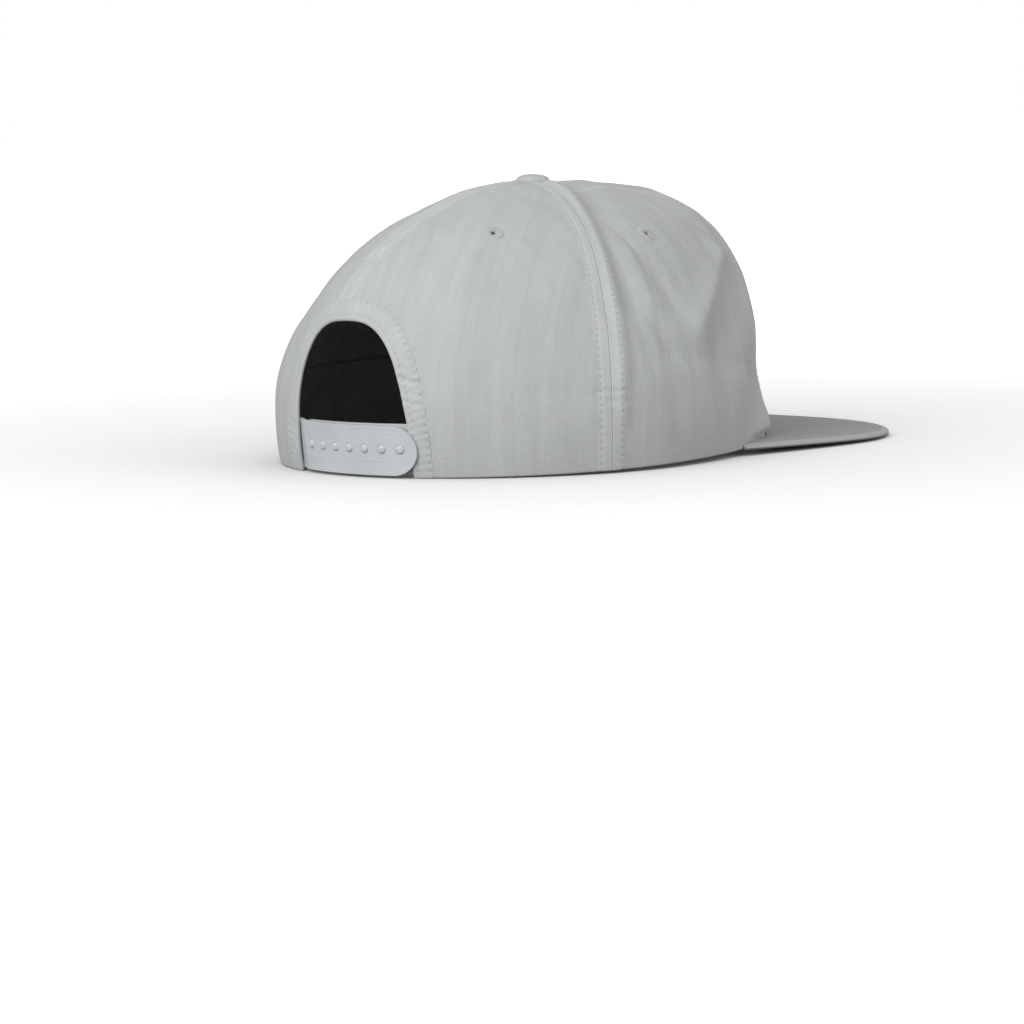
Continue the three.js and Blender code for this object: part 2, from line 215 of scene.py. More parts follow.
# Main forms, shared with the plain solids. Side 1 is the wearer's left, and echo is the other side's share.
FORMS = (
    Fold(6, -2.4, 0.5, ((-61, 101.4), (-90, 93), (-96, 82.5), (-99, 58.5))),
    Fold(4, 0.9, 0.4, ((-93, 87), (-93.5, 74), (-93, 60))),
    Fold(4.5, -1.4, 0.5, ((-88, 87.3), (-88, 72), (-85, 56.3))),
    Fold(6, 1.6, 0.7, ((-55.5, 72.5), (-69.5, 60.5), (-79, 49))),
    Fold(12, -2.2, 0.6, ((-55, 61), (-64, 49), (-72, 37))),
    Fold(9, -1.4, 0.8, ((-34, 29), (-44, 28), (-54, 27))),
    Fold(14, 1, 1, ((-26, 96), (-36, 92), (-46, 88))),
    Fold(9, -1.3, 0.6, ((-161, 81), (-155, 60.5), (-154, 38.5))),
    Fold(13, 0.8, 0.3, ((132, 46), (134, 40), (136, 33))),
    Fold(13, -1.6, 0.3, ((128, 90), (134, 80), (140, 62))),
    Fold(9, 0.9, 0.5, ((134, 101), (150, 100), (168, 99))),
)

# Finer creases that only the cloth's finish needs.
CREASES = (
    Fold(2.4, -0.4, 0.5, ((-89.6, 88.5), (-91.1, 82.8), (-95.1, 69), (-97.1, 57.8)), 1.8),
    Fold(1.8, -0.15, 0.5, ((-89, 86.5), (-89, 76.8), (-88, 63.4), (-86, 51.5), (-80.9, 44.7)), 1.6),
    Fold(6.5, 0.45, 0.5, ((-88, 87.3), (-88, 72), (-85, 56.3))),
    Fold(2.2, -0.35, 0.6, ((-98.3, 67.7), (-95.1, 54.2), (-91.4, 41.2), (-88.1, 35.1)), 1.8),
    Fold(2.2, -0.3, 0.6, ((-100.8, 58.1), (-98.3, 48), (-98.3, 36.4)), 1.8),
    Fold(1.3, -0.16, 0.6, ((-92, 72), (-89.5, 60), (-84, 49), (-79, 42)), 1.6),
    Fold(1.2, -0.14, 0.6, ((-94.5, 61), (-90.5, 49), (-86, 40), (-83, 33)), 1.6),
    Fold(1.2, -0.12, 0.6, ((-86, 80), (-84.5, 70), (-81, 60), (-77, 53)), 1.6),
    Fold(4.2, 0.5, 0.7, ((-51.1, 72.9), (-70.8, 58.8), (-78, 52), (-80.8, 45.7)), 1.7),
    Fold(1.9, 0.26, 0.5, ((-51.5, 73.5), (-61, 68), (-70.5, 59.6), (-77, 51)), 1.8),
    Fold(2.8, -0.34, 0.5, ((-82, 95), (-84, 91), (-86.5, 86), (-88.5, 80)), 1.7),
    Fold(1.8, -0.2, 0.5, ((-86, 96), (-89.5, 91), (-93, 85)), 1.7),
    Fold(7.0, -0.7, 0.7, ((-50, 62), (-62, 50), (-72, 40))),
    Fold(4.5, -0.5, 0.7, ((-91.2, 41.2), (-81.8, 38), (-70.1, 34.5), (-58.8, 30.5))),
    Fold(2.4, 0.25, 0.5, ((-42, 86), (-52, 78), (-58, 68)), 1.6),
    Fold(2.2, -0.2, 0.5, ((-119, 92), (-124, 84), (-127, 74)), 1.4),
    Fold(3.4, -0.4, 0.5, ((-151.6, 77.5), (-149.6, 65), (-149.6, 53.3), (-148.5, 44)), 1.6),
    Fold(3.0, -0.2, 0.6, ((-127.6, 30.7), (-118, 28.6), (-106.6, 25.4)), 1.6),
    Fold(0.9, -0.34, 0.5, ((-113.5, 29.2), (-105.5, 28.2))),
    Fold(0.9, -0.3, 0.5, ((-111.5, 25.4), (-105.5, 24.7))),
)

# Where the cloth puffs out over the joint with the brim's rear corners.
PUFFS = (Fold(6.5, 2.3, 1.0, ((-34, 7.5), (-42, 7), (-50, 6.5), (-57, 6))),)


@dataclass(frozen=True)
class Crown:
    """The cloth surface that every piece of the crown follows.

    Plan angles are degrees, 0 at the front and 180 at the back. Levels run from 0 at the rim to 1.
    """

    height: float = 102.7
    apex_shift: float = -18.2
    apex_power: float = 1.55
    wall: float = 1.2
    hole: float = 3.0
    front: Profile = Profile(114, 2.07, 5.7, 0.05)
    side: Profile = Profile(85.6, 1.75, 2.08, -0.027)
    back: Profile = Profile(96.8, 2.05, 4.15, -0.055)
    brim_slope: float = BRIM_DROP / (BRIM_REACH - BRIM_CORNER)
    brim_gap: float = 0.3

    def smooth(self, angle: Array, level: Array) -> Array:
        """The crown before its folds.

        Args:
            angle: Plan angles.
            level: Levels, of the same shape.

        Returns:
            Points in millimetres, with a last axis of 3.
        """
        angle, level = np.broadcast_arrays(angle, level)
        cos, sin = np.cos(np.radians(angle)), np.sin(np.radians(angle))
        reach = np.where(cos > 0, self.front.at(level), self.back.at(level))
        y = -reach * cos + self.apex_shift * level**self.apex_power
        over_brim = np.where(y < -BRIM_CORNER, self.brim_gap, 0)
        sink = self.brim_slope * np.maximum(0, -y - BRIM_CORNER) - over_brim
        z = self.height * level - np.maximum(0, sink) * np.maximum(0, 1 - level / 0.15)
        return np.stack([self.side.at(level) * sin, y, z], axis=-1)

    def normal(self, angle: Array, level: Array) -> Array:
        """Outward directions of the smooth crown.

        Args:
            angle: Plan angles.
            level: Levels, of the same shape.

        Returns:
            Directions of length 1, level at the rim.
        """
        angle, level = np.broadcast_arrays(angle, level)
        step = np.minimum(0.004, (1 - level) / 2)
        across = self.smooth(angle + 0.5, level) - self.smooth(angle - 0.5, level)
        up = self.smooth(angle, level + step) - self.smooth(angle, np.maximum(0, level - step))
        normal = np.cross(across, up)
        normal[..., 2] = np.where(level <= 0, 0, normal[..., 2])
        return unit(normal)

    def fold_rise(self, points: Array, folds: tuple[Fold, ...]) -> Array:
        """How far folds lift the cloth.

        Args:
            points: Points of the smooth crown.
            folds: The folds, each with its echo on the other side.

        Returns:
            The rise at each point.
        """
        rise = np.zeros(points.shape[:-1])
        for fold in folds:
            angles, heights = np.array(fold.path, float).T
            for side, share in ((1, 1.0), (-1, fold.echo)):
                path = self.smooth(side * angles, heights / self.height)
                nearest = np.full(rise.shape, np.inf)
                for start, end in zip(path[:-1], path[1:]):
                    reach = end - start
                    along = np.clip((points - start) @ reach / (reach @ reach), 0, 1)
                    away = points - start - along[..., None] * reach
                    nearest = np.minimum(nearest, np.linalg.norm(away, axis=-1))
                rise += fold.rise * share * np.exp(-((nearest / fold.width) ** fold.sharp))
        return rise

    def rise(self, points: Array) -> Array:
        """All that lifts the cloth: main forms, creases and a slight crumple that fades at the rim.

        Args:
            points: Points of the smooth crown.

        Returns:
            The rise at each point.
        """
        height = points[..., 2]
        calm = smooth((height - 4) / 22) * (1 - 0.55 * smooth(points[..., 0] / 30))
        draped = points * np.array([1, 1, 0.2])
        loose = 0.16 * crumple(points, 30, 7) + 0.05 * crumple(points, 12, 11) + 0.11 * crumple(draped, 11, 3)
        fine = self.fold_rise(points, CREASES) + loose
        puffed = self.fold_rise(points, PUFFS) * smooth((height - 2.5) / 3.2)
        return self.fold_rise(points, FORMS) + calm * fine + puffed

    def cloth(self, angle: Array, level: Array, out: Array) -> Array:
        """Points at a distance out from the folded cloth's surface."""
        points = self.smooth(angle, level)
        return points + self.normal(angle, level) * (self.rise(points) + out)[..., None]

    def top_levels(self) -> tuple[Array, Array]:
        """Levels where the crown comes within the apex hole's radius.

        Returns:
            Plan angles over two rounds, and the level at each.
        """
        angles = np.arange(-180, 541, 1.0)
        low, high = np.full(angles.shape, 0.5), np.ones(angles.shape)
        for _ in range(40):
            middle = (low + high) / 2
            points = self.smooth(angles, middle)
            outside = np.hypot(points[:, 0], points[:, 1] - self.apex_shift) > self.hole
            low = np.where(outside, middle, low)
            high = np.where(outside, high, middle)
        return angles, low

    def on_back(self, x: Array, z: Array) -> tuple[Array, Array]:
        """Angle and level of the back's surface at x across and z up."""
        level = np.maximum(0, z / self.height)
        return 180 - np.degrees(np.arcsin(x / self.side.at(level))), level


CROWN = Crown()
TOP_ANGLES, TOP_LEVELS = CROWN.top_levels()


# Meshes


def add_map(mesh: bpy.types.Mesh, label: str, pairs: Array) -> None:
    """Give a mesh a UV map.

    Args:
        mesh: The mesh.
        label: Name of the map.
        pairs: One pair a point.
    """
    corners = np.empty(len(mesh.loops), int)
    mesh.loops.foreach_get("vertex_index", corners)
    layer = mesh.uv_layers.new(name=label)
    layer.data.foreach_set("uv", pairs[corners].astype(np.float32).ravel())


def make_mesh(name: str, points: Array, faces: list, maps: Maps) -> Piece:
    """Make a smooth-shaded object from millimetre points.

    Args:
        name: Name of the new object.
        points: Points in the crown's frame.
        faces: Corner indices of each face.
        maps: UV maps by name, one pair a point.

    Returns:
        The object, with its place in its mesh.
    """
    mesh = bpy.data.meshes.new(name)
    mesh.from_pydata(RESTING.place(points).tolist(), [], faces)
    for label, pairs in maps.items():
        add_map(mesh, label, pairs)
    mesh.polygons.foreach_set("use_smooth", np.ones(len(mesh.polygons), bool))
    mesh.update()
    piece = bpy.data.objects.new(name, mesh)
    bpy.context.scene.collection.objects.link(piece)
    return piece


def grid_wall(name: str, outer: Array, inner: Array, maps: Maps, keep: Array | None = None) -> Piece:
    """Close the space between two grids of points into one wall.

    Args:
        name: Name of the new object.
        outer: Outside points, rows x columns x 3.
        inner: Inside points, of the same shape.
        maps: UV maps by name, rows x columns x 2.
        keep: Which cells of the grid stay, where not all of them do.

    Returns:
        The wall as an object.
    """
    rows, columns = outer.shape[:2]
    keep = np.ones((rows - 1, columns - 1), bool) if keep is None else keep
    index = np.arange(rows * columns).reshape(rows, columns)
    a, b, c, d = index[:-1, :-1], index[:-1, 1:], index[1:, 1:], index[1:, :-1]
    under = rows * columns
    faces = [np.stack([a, b, c, d], -1)[keep], np.stack([a, d, c, b], -1)[keep] + under]
    padded = np.pad(keep, 1)
    edges = (
        (padded[:-2, 1:-1], a, b),
        (padded[2:, 1:-1], c, d),
        (padded[1:-1, :-2], d, a),
        (padded[1:-1, 2:], b, c),
    )
    for neighbour, first, second in edges:
        rim = keep & ~neighbour
        one, two = first[rim], second[rim]
        faces.append(np.stack([one + under, two + under, two, one], -1))
    faces = np.concatenate(faces)
    used, renumbered = np.unique(faces, return_inverse=True)
    points = np.concatenate([outer.reshape(-1, 3), inner.reshape(-1, 3)])[used]
    flat = {label: np.concatenate([grid.reshape(-1, 2)] * 2)[used] for label, grid in maps.items()}
    return make_mesh(name, points, renumbered.reshape(-1, 4).tolist(), flat)


def activate(piece: Piece) -> None:
    """Make a piece the only selected and active object.

    Args:
        piece: The piece.
    """
    bpy.ops.object.select_all(action="DESELECT")
    piece.select_set(True)
    bpy.context.view_layer.objects.active = piece


def pick(piece: Piece, kind: str, wanted: Callable[..., bool]) -> None:
    """Select the faces or the edges that pass a test, in edit mode.

    Args:
        piece: The piece that is being edited.
        kind: "FACE" or "EDGE".
        wanted: The test of one face or edge.
    """
    bpy.ops.mesh.select_mode(type=kind)
    bpy.ops.mesh.select_all(action="DESELECT")
    form = bmesh.from_edit_mesh(piece.data)
    for element in form.faces if kind == "FACE" else form.edges:
        element.select_set(wanted(element))
    bmesh.update_edit_mesh(piece.data)


def add_block(low: tuple[float, float, float], high: tuple[float, float, float]) -> Piece:
    """Add a block and make it active.

    Args:
        low: Its lowest corner, in millimetres.
        high: Its highest corner.

    Returns:
        The block.
    """
    middle = [(one + two) / 2 * MM for one, two in zip(low, high)]
    bpy.ops.mesh.primitive_cube_add(size=1, location=middle)
    block = bpy.context.object
    block.scale = [(two - one) * MM for one, two in zip(low, high)]
    bpy.ops.object.transform_apply(location=True, rotation=True, scale=True)
    return block


def add_peg(
    base: tuple[float, float, float], radius: float, length: float, sides: int, upright: bool = False
) -> Piece:
    """Add a round peg and make it active.

    Args:
        base: The middle of its foot, in millimetres.
        radius: Its radius.
        length: How far it reaches from its foot.
        sides: How many sides it has.
        upright: Whether it runs along +Z, and not along +Y.

    Returns:
        The peg.
    """
    x, y, z = base
    middle = (x, y, z + length / 2) if upright else (x, y + length / 2, z)
    bpy.ops.mesh.primitive_cylinder_add(
        vertices=sides,
        radius=radius * MM,
        depth=length * MM,
        location=[value * MM for value in middle],
        rotation=(0 if upright else -math.pi / 2, 0, 0),
    )
    bpy.ops.object.transform_apply(location=True, rotation=True, scale=True)
    return bpy.context.object


def join(pieces: list[Piece]) -> Piece:
    """Join pieces into one.

    Args:
        pieces: The pieces, two or more.

    Returns:
        The first of them, which now holds all.
    """
    activate(pieces[0])
    for piece in pieces[1:]:
        piece.select_set(True)
    bpy.ops.object.join()
    return pieces[0]


def apply_modifier(piece: Piece, kind: str, **settings: object) -> None:
    """Add a modifier and apply it.

    Args:
        piece: The piece, which becomes active.
        kind: The modifier's type.
        **settings: Its settings.
    """
    activate(piece)
    modifier = piece.modifiers.new(kind.lower(), kind)
    for name, value in settings.items():
        setattr(modifier, name, value)
    bpy.ops.object.modifier_apply(modifier=modifier.name)


def read_points(piece: Piece) -> Array:
    """Read a mesh's points.

    Args:
        piece: The piece.

    Returns:
        Its points, in millimetres.
    """
    points = np.empty(len(piece.data.vertices) * 3)
    piece.data.vertices.foreach_get("co", points)
    return points.reshape(-1, 3) / MM


def write_points(piece: Piece, points: Array) -> None:
    """Set a mesh's points from millimetres of the crown's frame, placed in the room."""
    piece.data.vertices.foreach_set("co", RESTING.place(points).ravel())
    piece.data.update()


# Finishes


class Graph:
    """A node tree, with short calls that fill it."""

    def __init__(self, tree: bpy.types.NodeTree) -> None:
        """Hold the tree to fill."""
        self.tree = tree

    def node(self, kind: str, **settings: object) -> bpy.types.Node:
        """Add a node.

        Args:
            kind: The node's type.
            **settings: Its settings.

        Returns:
            The node.
        """
        node = self.tree.nodes.new(kind)
        for name, value in settings.items():
            setattr(node, name, value)
        return node

    def fill(self, node: bpy.types.Node, values: Feeds) -> None:
        """Link outputs to inputs of a node, or set them to plain values.

        Args:
            node: The node.
            values: An output or a plain value for each input, by its number or name.
        """
        for place, value in values.items():
            if isinstance(value, bpy.types.NodeSocket):
                self.tree.links.new(value, node.inputs[place])
            else:
                node.inputs[place].default_value = value

    def value(self, kind: str, values: Feeds, out: int | str = 0, **settings: object) -> Socket:
        """Add a node, fill it and take one of its outputs.

        Args:
            kind: The node's type.
            values: An output or a plain value for each input, by its number or name.
            out: Number or name of the output.
            **settings: The node's settings.

        Returns:
            The output.
        """
        node = self.node(kind, **settings)
        self.fill(node, values)
        return node.outputs[out]

    def place(self) -> Socket:
        """Object coordinates."""
        return self.value("ShaderNodeTexCoord", {}, "Object")

    def pairs(self, label: str) -> Socket:
        """Coordinates of a UV map."""
        return self.value("ShaderNodeUVMap", {}, uv_map=label)

    def math(self, operation: str, *values: object) -> Socket:
        """A sum of one to three values."""
        return self.value("ShaderNodeMath", dict(enumerate(values)), operation=operation)

    def split(self, vector: Socket) -> list[Socket]:
        """The parts of a vector."""
        return list(self.value("ShaderNodeSeparateXYZ", {0: vector}).node.outputs)

    def scaled(self, vector: Socket, scale: tuple[float, float, float]) -> Socket:
        """A vector whose parts are multiplied."""
        return self.value("ShaderNodeMapping", {"Vector": vector, "Scale": scale})

    def noise(self, vector: Socket, scale: float, detail: float = 3.0) -> Socket:
        """Cloudy noise, about 0.3 to 0.7."""
        return self.value("ShaderNodeTexNoise", {"Vector": vector, "Scale": scale, "Detail": detail}, "Fac")

    def span(self, value: Socket, low: float, high: float, first: float = 0.0, last: float = 1.0) -> Socket:
        """A value eased from one range to another and held at its ends."""
        values = dict(enumerate((value, low, high, first, last)))
        return self.value("ShaderNodeMapRange", values, interpolation_type="SMOOTHSTEP")

    def blend(self, share: object, first: object, second: object, how: str = "MIX") -> Socket:
        """A colour between two, or their product."""
        values = {0: share, 6: first, 7: second}
        return self.value("ShaderNodeMix", values, 2, data_type="RGBA", blend_type=how)

    def bump(self, height: Socket, distance: float, under: Socket | None = None) -> Socket:
        """A normal for a relief.

        Args:
            height: Height from 0 to 1.
            distance: The millimetres that a height of 1 stands for.
            under: A normal that the relief lies on.

        Returns:
            The normal.
        """
        values = {"Distance": distance * MM, "Height": height}
        if under is not None:
            values["Normal"] = under
        return self.value("ShaderNodeBump", values)


def new_group(name: str, inputs: tuple[tuple[str, str], ...], outputs: tuple[str, ...]) -> tuple:
    """Start a shader group.

    Args:
        name: Name of the group.
        inputs: Name and kind of each input socket.
        outputs: Names of the value outputs.

    Returns:
        The tree, its graph, its input node and its output node.
    """
    tree = bpy.data.node_groups.new(name, "ShaderNodeTree")
    for label, kind in inputs:
        tree.interface.new_socket(name=label, in_out="INPUT", socket_type=f"NodeSocket{kind}")
    for label in outputs:
        tree.interface.new_socket(name=label, in_out="OUTPUT", socket_type="NodeSocketFloat")
    graph = Graph(tree)
    return tree, graph, graph.node("NodeGroupInput"), graph.node("NodeGroupOutput")


def new_material(name: str) -> tuple[bpy.types.Material, Graph, bpy.types.Node]:
    """Start a material.

    Args:
        name: Name of the material.

    Returns:
        The material, its graph and its shader node.
    """
    material = bpy.data.materials.new(name)
    material.use_nodes = True
    return material, Graph(material.node_tree), material.node_tree.nodes["Principled BSDF"]


def shaded(tone: Tone, share: float) -> tuple[float, ...]:
    """A tone made darker or lighter, as a colour."""
    return (*(min(1, value * share) for value in tone), 1)


class SharedEffects:
    """Shader groups that more than one finish uses."""

    def __init__(self) -> None:
        """Build each group once."""
        self.weave = self.build_weave()
        self.stitched = self.build_stitched()

    @staticmethod
    def build_weave() -> bpy.types.NodeTree:
        """Plain weave with thick and thin yarns.

        Returns:
            A group that reads a vector in decimetres and a yarn pitch in millimetres.
        """
        inputs = (("Vector", "Vector"), ("Pitch", "Float"))
        tree, graph, source, result = new_group("plain weave", inputs, ("Height", "Tone"))
        vector = source.outputs["Vector"]
        sway = graph.math("MULTIPLY", graph.noise(vector, 90, 2), 5.0)
        turn = graph.math("DIVIDE", MAP_UNIT * math.pi, source.outputs["Pitch"])
        turned = [graph.math("MULTIPLY_ADD", side, turn, sway) for side in graph.split(vector)[:2]]
        yarns = [graph.math("SINE", angle) for angle in turned]
        crossing = graph.math("MULTIPLY_ADD", graph.math("MULTIPLY", *yarns), 0.5, 0.5)
        slubs = [graph.noise(graph.scaled(vector, scale), 1, 2) for scale in ((230, 8, 1), (14, 260, 1))]
        slub = graph.math("ADD", *slubs)
        height = graph.math("MULTIPLY_ADD", slub, 0.7, graph.math("MULTIPLY", crossing, 0.2))
        grain = graph.noise(vector, 300, 2)
        streak = graph.noise(graph.scaled(vector, (38, 1.7, 1)), 1, 3)
        band = graph.noise(graph.scaled(vector, (11, 0.7, 1)), 1, 2)
        fine = graph.math("MULTIPLY_ADD", grain, 0.45, graph.math("MULTIPLY", slub, 0.35))
        broad = graph.math("MULTIPLY_ADD", streak, 0.5, graph.math("MULTIPLY", band, 0.5))
        tone = graph.span(graph.math("ADD", fine, broad), 0.86, 1.29)
        graph.fill(result, {"Height": height, "Tone": tone})
        return tree

    @staticmethod
    def build_stitched() -> bpy.types.NodeTree:
        """Needle holes and the trough of a stitch row.

        Returns:
            A group that reads the distance along the row and across from it, both in millimetres.
        """
        inputs = (("Along", "Float"), ("Across", "Float"), ("Pitch", "Float"))
        tree, graph, source, result = new_group("stitch row", inputs, ("Holes", "Trough"))
        share = graph.math("FRACT", graph.math("DIVIDE", source.outputs["Along"], source.outputs["Pitch"]))
        from_middle = graph.math("ABSOLUTE", graph.math("SUBTRACT", share, 0.5))
        gap = graph.math("MULTIPLY", graph.math("SUBTRACT", 0.5, from_middle), source.outputs["Pitch"])
        across = graph.math("ABSOLUTE", source.outputs["Across"])
        squares = [graph.math("POWER", side, 2.0) for side in (gap, across)]
        reach = graph.math("SQRT", graph.math("ADD", *squares))
        holes, trough = graph.span(reach, 0.12, 0.58, 1, 0), graph.span(across, 0.15, 1.0, 1, 0)
        graph.fill(result, {"Holes": holes, "Trough": trough})
        return tree


@dataclass(frozen=True)
class ClothFinish:
    """Matt cotton, with its stitch rows.

    The rows lie at given distances, or a spacing apart. The cloth under the needle holes is shaded by a
    share, and the strip out to the last row is made paler by another: a painted highlight.
    """

    name: str
    slot: Slot
    tone: Tone
    rows: tuple[float, ...] = ()
    spacing: float = 0.0
    yarn: float = 0.5
    relief: float = 0.16
    contrast: float = 0.07
    hole_shade: float = 0.14
    painted_highlight: float = 0.0

    def build(self, shared: SharedEffects) -> bpy.types.Material:
        """Make the material.

        Args:
            shared: The shader groups.

        Returns:
            A material that reads the UV map "weave", and "rows" where there are stitch rows.
        """
        material, graph, shader = new_material(self.name)
        weave = graph.node("ShaderNodeGroup", node_tree=shared.weave)
        graph.fill(weave, {"Vector": graph.pairs("weave"), "Pitch": self.yarn})
        wear = graph.span(graph.noise(graph.place(), 28, 4), 0.35, 0.65)
        tone = graph.math("MULTIPLY_ADD", weave.outputs["Tone"], 0.75, graph.math("MULTIPLY", wear, 0.25))
        colour = graph.blend(tone, shaded(self.tone, 1 - self.contrast), shaded(self.tone, 1 + self.contrast))
        normal = graph.bump(weave.outputs["Height"], self.relief)
        if self.rows or self.spacing:
            holes, trough, band_mask = self.sew(graph, shared)
            # Painted highlight: the strip out to the last row, beside a seam or along the brim's edge, is
            # made paler.
            if self.painted_highlight:
                pale = shaded(self.tone, 1 + self.painted_highlight)
                colour = graph.blend(graph.math("MULTIPLY", band_mask, 0.7), colour, pale)
            colour = graph.blend(holes, colour, shaded(self.tone, 1 - self.hole_shade))
            depth = graph.math("MULTIPLY_ADD", trough, -0.35, graph.math("MULTIPLY", holes, -0.65))
            normal = graph.bump(depth, 0.2, normal)
        graph.fill(shader, {"Base Color": colour, "Normal": normal, "Roughness": 0.93})
        graph.fill(shader, {"Sheen Weight": 0.12, "Specular IOR Level": 0.25})
        return material

    def sew(self, graph: Graph, shared: SharedEffects) -> tuple[Socket, Socket, Socket]:
        """Add the stitch rows.

        Args:
            graph: The material's graph.
            shared: The shader groups.

        Returns:
            The masks of the needle holes, of the rows' troughs and of the strip out to the last row, which
            takes a painted highlight.
        """
        along, across, _ = graph.split(graph.pairs("rows"))
        along, across = (graph.math("MULTIPLY", part, MAP_UNIT) for part in (along, across))
        if self.spacing:
            share = graph.math("FRACT", graph.math("DIVIDE", across, self.spacing))
            offsets = [graph.math("MULTIPLY", graph.math("SUBTRACT", share, 0.5), self.spacing)]
        else:
            offsets = [graph.math("SUBTRACT", across, row) for row in self.rows]
        masks = []
        for offset in offsets:
            sewn = graph.node("ShaderNodeGroup", node_tree=shared.stitched)
            graph.fill(sewn, {"Along": along, "Across": offset, "Pitch": STITCH_PITCH})
            masks.append((sewn.outputs["Holes"], sewn.outputs["Trough"]))
        holes, trough = masks[0]
        for more_holes, more_trough in masks[1:]:
            holes = graph.math("MAXIMUM", holes, more_holes)
            trough = graph.math("MAXIMUM", trough, more_trough)
        reach = max(self.rows, default=2.4)
        return holes, trough, graph.span(across, reach + 0.1, reach + 1.0, 1, 0)


@dataclass(frozen=True)
class ThreadFinish:
    """Spun sewing thread, with a faint twist."""

    name: str
    slot: Slot
    tone: Tone

    def build(self, _: SharedEffects) -> bpy.types.Material:
        """Make the material.

        Args:
            _: The shader groups, of which it needs none.

        Returns:
            A material that reads Object coordinates.
        """
        material, graph, shader = new_material(self.name)
        fibre = graph.span(graph.noise(graph.place(), 1400, 2), 0.3, 0.7)
        colour = graph.blend(fibre, shaded(self.tone, 0.86), shaded(self.tone, 1.1))
        graph.fill(shader, {"Base Color": colour, "Normal": graph.bump(fibre, 0.05)})
        graph.fill(shader, {"Roughness": 0.7, "Sheen Weight": 0.2})
        return material


@dataclass(frozen=True)
class PlasticFinish:
    """Satin moulded plastic, faintly uneven from its mould."""

    name: str
    slot: Slot
    tone: Tone
    roughness: float = 0.36

    def build(self, _: SharedEffects) -> bpy.types.Material:
        """Make the material.

        Args:
            _: The shader groups, of which it needs none.

        Returns:
            A material that reads Object coordinates.
        """
        material, graph, shader = new_material(self.name)
        flow = graph.span(graph.noise(graph.place(), 60, 3), 0.35, 0.65)
        grain = graph.noise(graph.place(), 2600, 2)
        colour = graph.blend(flow, shaded(self.tone, 0.97), shaded(self.tone, 1.02))
        graph.fill(shader, {"Base Color": colour, "Normal": graph.bump(grain, 0.012)})
        rough = graph.math("MULTIPLY_ADD", flow, 0.12, self.roughness)
        graph.fill(shader, {"Roughness": rough, "Specular IOR Level": 0.5})
        return material


Finish = ClothFinish | ThreadFinish | PlasticFinish

# The strip between each seam and its row is made paler: a painted highlight.
CAP_CLOTH = ClothFinish(
    "cap cloth", Slot.CLOTH, (0.552, 0.565, 0.563), rows=(SEAM_ROW,), painted_highlight=0.12, contrast=0.078
)
BINDING_CLOTH = ClothFinish(
    "binding cloth", Slot.BINDING, (0.578, 0.593, 0.59), rows=(2.0, 6.5), hole_shade=0.1
)
# A darker copy of the cap cloth: painted shade for the crown's shadow over the brim. The band along its edge
# is made paler: a painted highlight.
PAINTED_SHADE_BRIM_CLOTH = ClothFinish(
    "brim cloth in painted shade", Slot.BRIM, (0.368, 0.377, 0.376), spacing=BRIM_ROWS, hole_shade=0.16, painted_highlight=0.45
)
BAND_CLOTH = ClothFinish("band cloth", Slot.BAND, (0.53, 0.54, 0.538), rows=(3.5,), yarn=0.42)
BUTTON_CLOTH = ClothFinish("button cloth", Slot.CLOTH, (0.545, 0.557, 0.555), relief=0.12)
SEWING_THREAD = ThreadFinish("sewing thread", Slot.THREAD, (0.552, 0.565, 0.563))
# Darker than the sewing thread to match the brim cloth: painted shade.
PAINTED_SHADE_BRIM_THREAD = ThreadFinish("brim thread in painted shade", Slot.THREAD, (0.38, 0.39, 0.389))
STRAP_PLASTIC = PlasticFinish("strap plastic", Slot.PLASTIC, (0.65, 0.68, 0.69))


class Wardrobe:
    """Builds each finish once and puts it on pieces."""

    def __init__(self) -> None:
        """Build the shared shader groups."""
        self.shared = SharedEffects()
        self.made: dict[str, bpy.types.Material] = {}

    def dress(self, piece: Piece, finish: Finish, *nodes: str) -> None:
        """Finish a piece, set it on the body and let it stand for CAD nodes.

        Args:
            piece: The finished object.
            finish: The finish to put on it.
            *nodes: Names of the CAD nodes that the piece replaces.
        """
        if finish.name not in self.made:
            self.made[finish.name] = finish.build(self.shared)
        piece.data.materials.clear()
        piece.data.materials.append(self.made[finish.name])
        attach(piece, "root")
        if nodes:
            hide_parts(*nodes)
        log.info("%s: %d faces", piece.name, len(piece.data.polygons))


# Stitching


